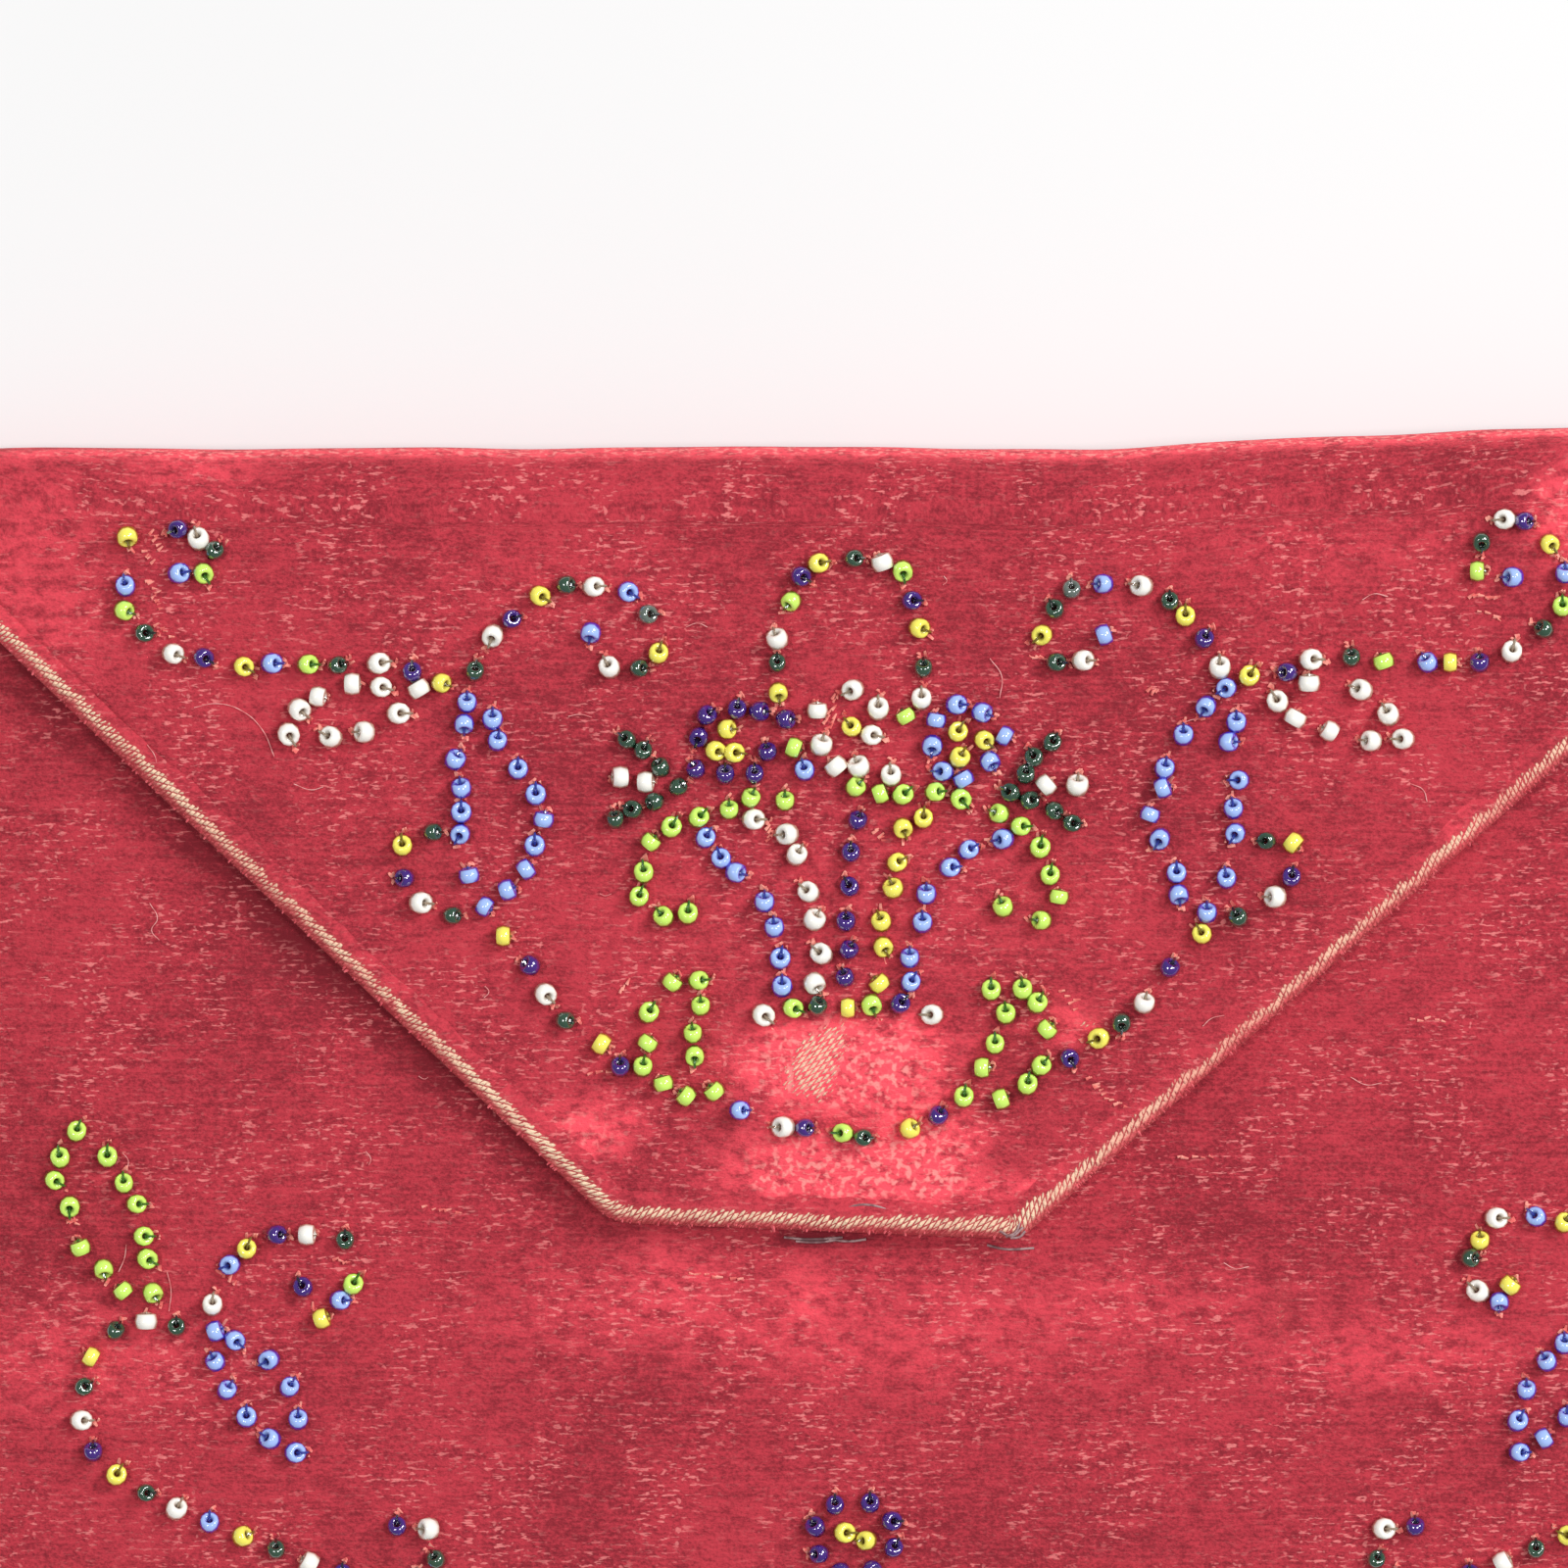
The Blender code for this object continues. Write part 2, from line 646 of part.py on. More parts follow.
def make_front(group, velvet, canvas, satin):
    """Make the front panel's three layers, with the velvet rolled down to its seams."""

    seam = VELVET + GAP

    def velvet_low(x, y):
        """The underside of the velvet, lower in the mouth's hem and down to the back's seam."""
        inside = min(1, max(0, (MOUTH_Y - y - HEM) / HEM_SLOPE))
        level = front_low(x, y) + (PANEL - VELVET) * inside
        return seam + (level - seam) * rolled(x, y)

    def velvet_high(x, y):
        """The pile side of the velvet."""
        return seam + VELVET + (front_top(x, y) - VELVET - seam) * rolled(x, y)

    scores = crown_scores() + roll_scores()
    scores += [((0, MOUTH_Y - HEM), (0, 1)), ((0, MOUTH_Y - HEM - HEM_SLOPE), (0, 1))]
    sheet = pouch_sheet(0, MOUTH_Y, scores)
    add_slab(group, "front_velvet", sheet, velvet_low, velvet_high, velvet)
    layers = (
        ("front_lining", 0, LINING, satin),
        ("front_interlining", LINING + GAP, INTERLINING, canvas),
    )
    for name, lift, thickness, material in layers:
        sheet = pouch_sheet(LINING_INSET, MOUTH_Y - HEM_TO_LINING, crown_scores())
        add_slab(
            group, name, sheet,
            lambda x, y, lift=lift: front_low(x, y) + lift,
            lambda x, y, lift=lift, thickness=thickness: front_low(x, y) + lift + thickness,
            material,
        )


def make_flap(group, velvet, canvas, satin):
    """Make the flap's three layers, with the velvet turned under along its free edges."""

    def velvet_low(x, y):
        """The underside of the velvet, lower in the hem than inside it."""
        share = (flap_edge_distance(x, y) - HEM) / HEM_SLOPE
        inside = min(1, max(0, share))
        return flap_low(x, y) + (PANEL - VELVET) * inside

    scores = crown_scores()
    for inset in (HEM, HEM + HEM_SLOPE, HEM_TO_LINING):
        scores += [(point - across * inset, across) for point, across in flap_edges()]
    add_slab(group, "flap_velvet", flap_sheet(0, scores), velvet_low, flap_top, velvet)
    layers = (
        ("flap_lining", 0, LINING, satin),
        ("flap_interlining", LINING + GAP, INTERLINING, canvas),
    )
    for name, lift, thickness, material in layers:
        add_slab(
            group, name, flap_sheet(HEM_TO_LINING, crown_scores()),
            lambda x, y, lift=lift: flap_low(x, y) + lift,
            lambda x, y, lift=lift, thickness=thickness: flap_low(x, y) + lift + thickness,
            material,
        )


def make_fold(group, velvet, satin):
    """Make the velvet and the lining that go over the top edge."""
    add_fold(group, "fold_velvet", HALF_WIDTH, 0, VELVET, velvet)
    half_width = HALF_WIDTH - LINING_INSET
    add_fold(group, "fold_lining", half_width, PANEL - LINING, LINING, satin)


def make_seam_thread(group, material):
    """Make the thread that sews the front to the back, round the sides and the bottom."""
    reach = HALF_WIDTH - SEAM_THREAD_INSET
    bottom = SEAM_THREAD_INSET - HALF_LENGTH
    radius = CORNER_RADIUS - SEAM_THREAD_INSET
    height = VELVET + GAP + SEAM_THREAD / 2
    right = [(reach, MOUTH_Y - HEM_TO_LINING, height)]
    for share in (0, *CORNER_TURN_SHARES, 1):
        turn = share * math.pi / 2
        x = reach - radius + radius * math.cos(turn)
        y = bottom + radius - radius * math.sin(turn)
        right.append((x, y, height))
    left = [(-x, y, z) for x, y, z in reversed(right)]
    add_wire(group, "seam_thread", right + left, SEAM_THREAD, material)


def make_mouth_thread(group, material):
    """Make the thread along the mouth, which holds the turned edge to the lining."""
    reach = HALF_WIDTH - LINING_INSET
    y = MOUTH_Y - (HEM + HEM_SLOPE + HEM_TO_LINING) / 2
    count = round(2 * reach / STITCH_LENGTH)
    points = []
    for step in range(count + 1):
        x = reach * (2 * step / count - 1)
        wave = THREAD / 2 if step % 2 else -THREAD / 2
        points.append((x, y + wave, front_low(x, y) + LINING + THREAD))
    add_wire(group, "mouth_thread", points, THREAD, material)


def make_flap_hem_thread(group, material):
    """Make the thread that sews the flap's lining to its turned edge."""
    inset = (HEM + HEM_SLOPE + HEM_TO_LINING) / 2
    lines = [(point - across * inset, across) for point, across in flap_edges()]
    top = (Vector((0, JOINT_Y)), Vector((0, 1)))
    corners = []
    for first, second in zip((top, *lines), (*lines, top)):
        corners.append(crossing(first, second))
    points = []
    for start, end in zip(corners, corners[1:]):
        count = max(2, round((end - start).length / STITCH_LENGTH / 2))
        steps = range(count + 1) if not points else range(1, count + 1)
        for step in steps:
            place = start.lerp(end, step / count)
            height = flap_low(place.x, place.y) + LINING + GAP
            points.append((place.x, place.y, height))
    add_wire(group, "flap_hem_thread", points, THREAD, material)


def crossing(first, second):
    """Where two lines in plan cross, each a point and the direction square to it."""
    (point_a, across_a), (point_b, across_b) = first, second
    along = Vector((-across_a.y, across_a.x))
    reach = (point_b - point_a).dot(across_b) / along.dot(across_b)
    return point_a + along * reach


def add_turned(group, name, profile, height, material):
    """Add a piece turned about the press stud's axis, from a profile of radius and height.

    The profile runs down the outside, from the axis at the top to the axis at the bottom.
    """
    mesh = bpy.data.meshes.new(name)
    bm = bmesh.new()
    verts = [bm.verts.new((radius, 0, z)) for radius, z in profile]
    for start, end in zip(verts, verts[1:]):
        bm.edges.new((start, end))
    bm.to_mesh(mesh)
    bm.free()
    mesh.materials.append(material)
    made = bpy.data.objects.new(name, mesh)
    group.objects.link(made)
    made.location = (SNAP_X, SNAP_Y, height)
    screw = made.modifiers.new("turn", "SCREW")
    screw.steps = SNAP_STEPS
    screw.render_steps = SNAP_STEPS
    screw.use_merge_vertices = True
    screw.merge_threshold = GAP / 100
    return made


def make_snap(group, steel, thread):
    """Make the press stud: the ball half on the front, the socket half and its spring."""
    base = front_top(SNAP_X, SNAP_Y) + GAP
    ball_top = SNAP_PLATE + GAP + SNAP_DOME
    ball_z = ball_top - SNAP_BALL_RADIUS / 2
    stud = (
        (0, ball_top),
        (SNAP_BALL_RADIUS * 2 / 3, ball_top),
        (SNAP_BALL_RADIUS, ball_z),
        (SNAP_NECK_RADIUS, SNAP_PLATE + GAP / 2),
        (SNAP_NECK_RADIUS + GAP, SNAP_PLATE),
        (SNAP_RADIUS - GAP, SNAP_PLATE),
        (SNAP_RADIUS, SNAP_PLATE / 2),
        (SNAP_RADIUS - GAP, 0),
        (0, 0),
    )
    add_turned(group, "snap_stud", stud, base, steel)
    top = SNAP_DOME + SNAP_FLANGE
    roof = top - SNAP_WALL
    room = SNAP_DOME_RADIUS - SNAP_WALL
    socket = (
        (0, top),
        (SNAP_RADIUS - GAP, top),
        (SNAP_RADIUS, top - SNAP_FLANGE / 2),
        (SNAP_RADIUS - GAP, SNAP_DOME),
        (SNAP_DOME_RADIUS, SNAP_DOME),
        (SNAP_DOME_RADIUS, 0),
        (SNAP_MOUTH_RADIUS, 0),
        (SNAP_MOUTH_RADIUS, SNAP_WALL),
        (room, SNAP_WALL),
        (room, roof),
        (0, roof),
    )
    socket_base = base + SNAP_PLATE + GAP
    add_turned(group, "snap_socket", socket, socket_base, steel)
    turns = [math.pi * (1 / 6 + step * 5 / 3 / SNAP_STEPS) for step in range(SNAP_STEPS + 1)]
    reach = room - SNAP_WIRE
    height = socket_base + (SNAP_WALL + roof) / 2
    spring = [
        (SNAP_X + reach * math.cos(turn), SNAP_Y + reach * math.sin(turn), height)
        for turn in turns
    ]
    add_wire(group, "snap_spring", spring, SNAP_WIRE, steel)
    plate_top = base + SNAP_PLATE
    add_snap_stitches(group, "stud_stitches", plate_top, 1, thread)
    flange_low = socket_base + SNAP_DOME
    add_snap_stitches(group, "socket_stitches", flange_low, -1, thread)


def add_snap_stitches(group, name, face, side, material):
    """Add a thread that overcasts the rim of one half of the press stud.

    The face is the height of the rim's free face, and the side is 1 where that face looks up.
    """
    lift = side * (GAP / 2 + THREAD / 2)
    stitch = (
        (SNAP_RADIUS - 2 * THREAD, lift),
        (SNAP_RADIUS + THREAD, lift),
        (SNAP_RADIUS + 2 * THREAD, lift - side * SNAP_PLATE),
    )
    shares = (0, 1 / 4, 1 / 2)
    points = []
    for index in range(STITCHES_ROUND_SNAP):
        for (radius, height), share in zip(stitch, shares):
            turn = 2 * math.pi * (index + share) / (STITCHES_ROUND_SNAP + 1)
            x = SNAP_X + radius * math.cos(turn)
            y = SNAP_Y + radius * math.sin(turn)
            points.append((x, y, face + height))
    add_wire(group, name, points, THREAD / 2, material)


def make_beads(group):
    """Make every motif of the flap and of the front."""
    front_motifs = dict(LEFT_MOTIFS)
    for name, pixels in LEFT_MOTIFS.items():
        front_motifs[name.replace("left", "right")] = mirrored(pixels)
    front_motifs["front_scroll_right"] = FRONT_SCROLL_RIGHT
    front_motifs["front_blue_leaf_right"] = FRONT_BLUE_LEAF_RIGHT
    front_motifs["front_flower"] = FRONT_FLOWER
    for motifs, put, surface in (
        (FLAP_MOTIFS, flap_place, flap_top), (front_motifs, front_place, front_top),
    ):
        for name, pixels in motifs.items():
            glass = make_material(f"{name}_glass", MOTIF_COLOURS[name], GLASS_ROUGHNESS)
            places = [put(pixel) for pixel in pixels]
            add_bead_string(group, name, places, surface, glass)


def main():
    """Make the whole bag."""
    empty_scene()
    group = make_collection("beaded_velvet_clutch")
    velvet = make_material("crimson_velvet", CRIMSON, PILE_ROUGHNESS)
    fold = make_material("fold_velvet", RIBBON_RED, PILE_ROUGHNESS)
    canvas = make_material("interlining_canvas", CANVAS, PILE_ROUGHNESS)
    satin = make_material("lining_satin", SATIN, SATIN_ROUGHNESS)
    thread = make_material("sewing_thread", THREAD_RED, PILE_ROUGHNESS)
    steel = make_material("snap_steel", STEEL, METAL_ROUGHNESS, 1.0)
    make_back(group, velvet, canvas, satin)
    make_front(group, velvet, canvas, satin)
    make_fold(group, fold, satin)
    make_flap(group, velvet, canvas, satin)
    make_seam_thread(group, thread)
    make_mouth_thread(group, thread)
    make_flap_hem_thread(group, thread)
    make_snap(group, steel, thread)
    make_beads(group)
    hinge = bpy.data.objects.new("flap_hinge", None)
    hinge.location = (0, HINGE_Y, HINGE_Z)
    group.objects.link(hinge)


main()
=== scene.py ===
"""Looks of a beaded velvet clutch that lies on its back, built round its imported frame.

The bag lies on the XY plane with its front up: +X runs across it, +Y points to the fold along its
top edge and +Z points up. Lengths are in metres. One pixel of the photograph is a tenth of a
millimetre on the bag, so the bead chart is written in pixels.
"""
import json
import logging
import math
import random
from collections.abc import Callable
from dataclasses import dataclass, field
from enum import Enum

import bpy
import numpy as np
from mathutils import Euler, Matrix, Vector

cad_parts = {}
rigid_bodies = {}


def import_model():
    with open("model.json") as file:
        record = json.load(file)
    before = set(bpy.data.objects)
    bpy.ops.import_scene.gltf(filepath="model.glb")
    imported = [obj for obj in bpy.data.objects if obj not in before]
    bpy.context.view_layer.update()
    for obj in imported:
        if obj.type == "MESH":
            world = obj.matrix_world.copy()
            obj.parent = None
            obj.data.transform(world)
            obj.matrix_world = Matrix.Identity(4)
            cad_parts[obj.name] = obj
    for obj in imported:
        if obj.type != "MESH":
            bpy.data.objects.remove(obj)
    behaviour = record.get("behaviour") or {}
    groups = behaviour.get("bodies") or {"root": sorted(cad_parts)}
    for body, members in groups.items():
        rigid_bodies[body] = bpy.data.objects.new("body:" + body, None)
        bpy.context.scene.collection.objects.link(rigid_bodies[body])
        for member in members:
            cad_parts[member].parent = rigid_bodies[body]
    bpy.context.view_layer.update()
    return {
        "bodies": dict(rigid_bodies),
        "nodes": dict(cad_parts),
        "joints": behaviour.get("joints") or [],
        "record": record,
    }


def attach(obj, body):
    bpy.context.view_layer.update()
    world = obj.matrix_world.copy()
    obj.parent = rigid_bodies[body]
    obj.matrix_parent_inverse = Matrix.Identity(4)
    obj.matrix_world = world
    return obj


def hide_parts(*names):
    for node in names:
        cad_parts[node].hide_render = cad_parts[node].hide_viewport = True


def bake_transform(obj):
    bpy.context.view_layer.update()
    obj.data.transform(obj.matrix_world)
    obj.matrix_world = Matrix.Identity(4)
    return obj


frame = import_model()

LOG = logging.getLogger("clutch")

PIXEL = 0.0001
PHOTO_CENTRE_X = 870
PHOTO_FOLD_Y = 455

Array = np.ndarray
Colour = tuple[float, float, float]
Surface = Callable[[Array, Array], Array]
Object = bpy.types.Object
Material = bpy.types.Material
Socket = bpy.types.NodeSocket


def srgb(red: int, green: int, blue: int) -> Colour:
    """Turn a colour as seen on a screen, 0 to 255, into the linear one that a shader takes."""
    parts = [part / 255 for part in (red, green, blue)]
    return tuple(p / 12.92 if p <= 0.04045 else ((p + 0.055) / 1.055) ** 2.4 for p in parts)


def smooth(share: Array) -> Array:
    """Ease a share that runs from 0 to 1, and hold it there outside that range."""
    share = np.clip(share, 0.0, 1.0)
    return share * share * (3 - 2 * share)


def bump_at(x: Array, y: Array, middle: tuple[float, float], reach: tuple[float, float]) -> Array:
    """A soft round hump, 1 in its middle and near 0 past its reach.

    Args:
        x: Places across the bag.
        y: Places along the bag.
        middle: The hump's middle.
        reach: Its half axes.

    Returns:
        The hump's height at each place.
    """
    away = ((x - middle[0]) / reach[0]) ** 2 + ((y - middle[1]) / reach[1]) ** 2
    return np.exp(-1.6 * away)


def ripple(x: Array, y: Array, size: float, seed: int) -> Array:
    """An even random waviness made of crossing waves, from about -1 to 1.

    Args:
        x: Places across the cloth.
        y: Places along the cloth.
        size: About how long a wave is.
        seed: Which pattern it is.

    Returns:
        The waviness at each place.
    """
    waves, shortest, longest, highest = 7, 0.6, 1.7, 4.2
    draw = random.Random(seed)
    total = np.zeros_like(x)
    for _ in range(waves):
        turn = draw.uniform(0, math.pi)
        pitch = size * draw.uniform(shortest, longest)
        phase = draw.uniform(0, 2 * math.pi)
        total += np.sin((x * math.cos(turn) + y * math.sin(turn)) * 2 * math.pi / pitch + phase)
    return total / highest


def ragged(waves: tuple, at: Array) -> Array:
    """A ragged line made of some waves, each given as its height, pace and phase."""
    return sum(height * np.sin(at * pace + phase) for height, pace, phase in waves)


def photo_place(px: float, py: float) -> tuple[float, float]:
    """Turn a pixel of the photograph into a place in plan on the bag."""
    return (px - PHOTO_CENTRE_X) * PIXEL, BAG.half_length - (py - PHOTO_FOLD_Y) * PIXEL


def height_at(surface: Surface, x: float, y: float) -> float:
    """The height of a surface at one place."""
    return float(surface(np.array([x]), np.array([y]))[0])


@dataclass(frozen=True)
class BagShape:
    """The sizes that every panel shares, and the heights of the panels over the table."""

    half_width: float = 0.0985
    half_length: float = 0.0685
    panel: float = 0.0028
    velvet: float = 0.0009
    lining: float = 0.0004
    canvas: float = 0.0008
    gap: float = 0.0003
    flap_gap: float = 0.0005
    cavity: float = 0.0062
    crown_power: int = 6
    corner: float = 0.007
    joint_y: float = 0.0595
    mouth_y: float = 0.0540
    fold_run: float = 0.1
    fold_power: float = 2.9
    full_radius: float = 0.0077
    thin_radius: float = 0.0046
    turn_middle: float = 0.53
    turn_shift: float = 0.16
    turn_span: float = 0.16
    worn_rise: float = 0.0019
    worn_from: tuple[float, float] = (0.024, 0.045)
    worn_to: tuple[float, float] = (0.080, 0.020)
    waver: float = 0.00030
    waver_least: float = 0.00010
    waver_pitch: float = 0.024
    waver_reach: float = 0.0145
    waver_pace: float = 2.2
    snap: tuple[float, float] = (-0.0040, 0.0050)
    snap_lift: float = 0.00115
    snap_seat: float = 0.0070
    snap_spread: float = 0.0140
    flap_corners: tuple = (
        (-0.0985, 0.0595), (-0.0245, -0.01045), (0.0170, -0.01215), (0.0985, 0.0595),
    )

    def hill(self, x: Array, y: Array) -> Array:
        """How far the panels part over the press stud, from 0 to 1."""
        away = np.hypot(x - self.snap[0], y - self.snap[1])
        return smooth((self.snap_spread - away) / (self.snap_spread - self.snap_seat))

    def swell(self, x: Array, y: Array) -> Array:
        """The pouch's inner height, fullest over its middle and least at its seams."""
        across = np.minimum(1, np.abs(x) / self.half_width) ** self.crown_power
        along = np.minimum(1, np.maximum(0, -y) / self.half_length) ** self.crown_power
        return self.panel + self.gap + self.cavity * ((1 - across) * (1 - along))

    def front_low(self, x: Array, y: Array) -> Array:
        """The inside of the front panel."""
        return self.swell(x, y) - self.snap_lift * self.hill(x, y)

    def front_top(self, x: Array, y: Array) -> Array:
        """The outside of the front panel."""
        return self.front_low(x, y) + self.panel

    def flap_low(self, x: Array, y: Array) -> Array:
        """The inside of the flap."""
        lift = self.snap_lift * self.hill(x, y)
        return self.swell(x, y) + self.panel + self.flap_gap + lift

    def flap_top(self, x: Array, y: Array) -> Array:
        """The outside of the flap."""
        return self.flap_low(x, y) + self.panel

    def top_of(self, body: str) -> Surface:
        """The outside of the panel that a body's beads and fibres lie on."""
        return self.flap_top if body == "flap" else self.front_top

    def seam_distance(self, x: Array, y: Array) -> Array:
        """How far inside the side and bottom seams a place is, with round lower corners."""
        across = self.half_width - np.abs(x)
        along = y + self.half_length
        corner = self.corner - np.hypot(self.corner - across, self.corner - along)
        inside = (across < self.corner) & (along < self.corner)
        return np.where(inside, corner, np.minimum(across, along))

    def seam_x(self, y: Array) -> Array:
        """Half the pouch's width at a place along it, with round lower corners."""
        low = np.clip(self.corner - self.half_length - y, 0, self.corner)
        return self.half_width - self.corner + np.sqrt(self.corner ** 2 - low ** 2)

    def fold_radius(self, x: Array) -> Array:
        """Half the fold's height."""
        return self.flap_top(x, np.full_like(x, self.joint_y)) / 2

    def fold(self, x: Array, share: Array, depth: float) -> tuple[Array, Array]:
        """A place on the fold over the top edge.

        Args:
            x: Places across the bag.
            share: From 0 at the back panel to 1 at the flap.
            depth: How deep under the pile it is.

        Returns:
            The places along the bag and their heights.
        """
        radius = self.fold_radius(x)
        start = self.joint_y + self.gap
        turn_y = self.half_length - radius
        run = self.fold_run
        turn = math.pi * (np.clip((share - run) / (1 - 2 * run), 0, 1) - 0.5)
        power = 2 / self.fold_power
        rise = np.sin(turn)
        y = turn_y + (radius - depth) * np.maximum(np.cos(turn), 0) ** power
        z = radius + (radius - depth) * np.sign(rise) * np.abs(rise) ** power
        for done, height in ((share, depth), (1 - share, 2 * radius - depth)):
            y = np.where(done < run, start + (turn_y - start) * np.clip(done / run, 0, 1), y)
            z = np.where(done < run, height, z)
        return y, z

    def fold_half(self, flap_inset: float, pouch_inset: float, share: Array) -> Array:
        """Half the width of a cloth on the fold, from the flap's at 0 to the pouch's at 1."""
        top = self.inset_corners(flap_inset)[3][0]
        return top + (self.half_width - pouch_inset - top) * smooth(share)

    def turn(self, x: Array, share: Array) -> Array:
        """How far a place next to the hinge's line goes with the flap.

        Args:
            x: Places across the bag.
            share: From 0 at the back panel to 1 at the flap.

        Returns:
            From 0, which stays with the pouch, to 1.
        """
        flat = (self.full_radius - self.fold_radius(x)) / (self.full_radius - self.thin_radius)
        middle = self.turn_middle + self.turn_shift * np.clip(flat, 0, 1)
        return np.clip((share - middle) / self.turn_span + 0.5, 0, 1)

    def edge_waver(self, x: Array) -> Array:
        """How far the worn fold stands before or behind its straight line."""
        rise, fall = (smooth((x - at) / run) for at, run in (self.worn_from, self.worn_to))
        wave = self.waver * ripple(x, x * 0, self.waver_pitch, 3)
        return self.worn_rise * rise * (1 - fall) + self.waver_least + wave

    def flap_waver(self, x: Array, y: Array) -> Array:
        """The share of that waver which the flap takes next to the fold."""
        return self.edge_waver(x) * smooth((y - self.joint_y) / self.waver_reach + 1)

    def fold_waver(self, x: Array, share: Array) -> Array:
        """The share of that waver which a place on the fold takes."""
        return self.edge_waver(x) * smooth(share * self.waver_pace)

    def flap_patch(self, inset: float, across: Array, along: Array) -> tuple[Array, Array]:
        """A place on the flap, a little inside its free edges.

        Args:
            inset: How far inside the free edges the patch ends.
            across: From 0 at the left edge to 1 at the right.
            along: From 0 at the tip to 1 at the fold.

        Returns:
            The places across and along the bag.
        """
        left, tip_left, tip_right, right = np.array(self.inset_corners(inset))[:, :, None]
        first = tip_left + (left - tip_left) * along
        last = tip_right + (right - tip_right) * along
        x, y = first + (last - first) * across
        return x, y

    def inset_corners(self, inset: float) -> list[tuple[float, float]]:
        """The flap's four corners, moved a little inside its three free edges."""
        corners = [Vector(corner) for corner in self.flap_corners]
        lines = []
        for start, end in zip(corners, corners[1:]):
            along = (end - start).normalized()
            inward = Vector((-along.y, along.x))
            lines.append((start + inward * inset, along))
        tips = [a + da * ((b - a).cross(db) / da.cross(db))
                for (a, da), (b, db) in zip(lines, lines[1:])]
        left, right = (point + along * ((self.joint_y - point.y) / along.y)
                       for point, along in (lines[0], lines[-1]))
        return [tuple(point) for point in (left, *tips, right)]


BAG = BagShape()


class Nodes:
    """A node material in the making."""

    def __init__(self, name: str) -> None:
        """Start a Principled material."""
        self.material = bpy.data.materials.new(name)
        self.material.use_nodes = True
        self.tree = self.material.node_tree
        self.shader = self.tree.nodes["Principled BSDF"]

    def add(self, kind: str, values: dict | None = None, **settings) -> bpy.types.Node:
        """Add a node.

        Args:
            kind: Its type's name.
            values: What goes into its inputs, by name or number.
            **settings: The node's own properties.

        Returns:
            The node.
        """
        node = self.tree.nodes.new(kind)
        for key, value in settings.items():
            setattr(node, key, value)
        for key, value in (values or {}).items():
            self.put(node.inputs[key], value)
        return node

    def put(self, socket: Socket, value: Socket | float | tuple) -> None:
        """Link a socket to another, or set its value."""
        if isinstance(value, Socket):
            self.tree.links.new(value, socket)
        elif isinstance(value, tuple) and len(value) == 3 and socket.type == "RGBA":
            socket.default_value = (*value, 1.0)
        else:
            socket.default_value = value

    def attribute(self, name: str, output: str = "Fac") -> Socket:
        """Read an attribute of the piece."""
        return self.add("ShaderNodeAttribute", attribute_name=name).outputs[output]

    def place(self) -> Socket:
        """The place on the piece."""
        return self.add("ShaderNodeTexCoord").outputs["Object"]

    def turned(self, vector: Socket, scale: tuple = (1, 1, 1), turn: float = 0.0) -> Socket:
        """Stretch a pattern's coordinates, and turn them about Z by some degrees."""
        values = {"Vector": vector, "Scale": scale, "Rotation": (0, 0, math.radians(turn))}
        return self.add("ShaderNodeMapping", values).outputs["Vector"]

    def noise(self, vector: Socket, size: float, detail: float = 2, rough: float = 0.5) -> Socket:
        """Cloudy noise whose blots are about as large as size."""
        values = {"Vector": vector, "Scale": 1 / size, "Detail": detail, "Roughness": rough}
        return self.add("ShaderNodeTexNoise", values).outputs["Fac"]

    def ribs(self, vector: Socket, pitch: float, axis: str = "Y", waver: float = 0.0) -> Socket:
        """Even ribs with a pitch, across one axis."""
        values = {"Vector": vector, "Scale": math.pi / 10 / pitch, "Distortion": waver,
                  "Detail": 1.0, "Detail Scale": 0.6}
        return self.add("ShaderNodeTexWave", values, bands_direction=axis).outputs["Fac"]

    def between(self, value: Socket, low: float, high: float,
                start: float = 0.0, end: float = 1.0) -> Socket:
        """Ease a value's range into another range."""
        values = {0: value, 1: low, 2: high, 3: start, 4: end}
        return self.add("ShaderNodeMapRange", values, interpolation_type="SMOOTHSTEP").outputs[0]

    def math(self, how: str, a: Socket | float, b: Socket | float) -> Socket:
        """A sum, product or other function of two values."""
        return self.add("ShaderNodeMath", {0: a, 1: b}, operation=how).outputs[0]

    def chain(self, how: str, values: tuple) -> Socket:
        """Take some values together, two at a time."""
        total = values[0]
        for value in values[1:]:
            total = self.math(how, total, value)
        return total

    def times(self, *values: Socket | float) -> Socket:
        """The product of some values."""
        return self.chain("MULTIPLY", values)

    def plus(self, *values: Socket | float) -> Socket:
        """The sum of some values."""
        return self.chain("ADD", values)

    def mix(self, share: Socket, a: Socket | Colour, b: Socket | Colour) -> Socket:
        """A colour between two colours."""
        return self.add("ShaderNodeMix", {0: share, 6: a, 7: b}, data_type="RGBA").outputs[2]

    def bump(self, height: Socket, distance: float, strength: float) -> None:
        """Give the surface relief."""
        values = {"Height": height, "Distance": distance, "Strength": strength}
        self.put(self.shader.inputs["Normal"], self.add("ShaderNodeBump", values).outputs[0])

    def set(self, **values) -> None:
        """Set the shader's inputs, with _ for a space in their names."""
        for key, value in values.items():
            self.put(self.shader.inputs[key.replace("_", " ")], value)


@dataclass(frozen=True)
class Finish:
    """A finish with its name; each kind paints its own nodes."""

    name: str

    def make(self) -> Material:
        """Return the finish as a material."""
        nodes = Nodes(self.name)
        self.paint(nodes)
        return nodes.material

    def paint(self, n: Nodes) -> None:
        """Set the shader's inputs."""
        raise NotImplementedError


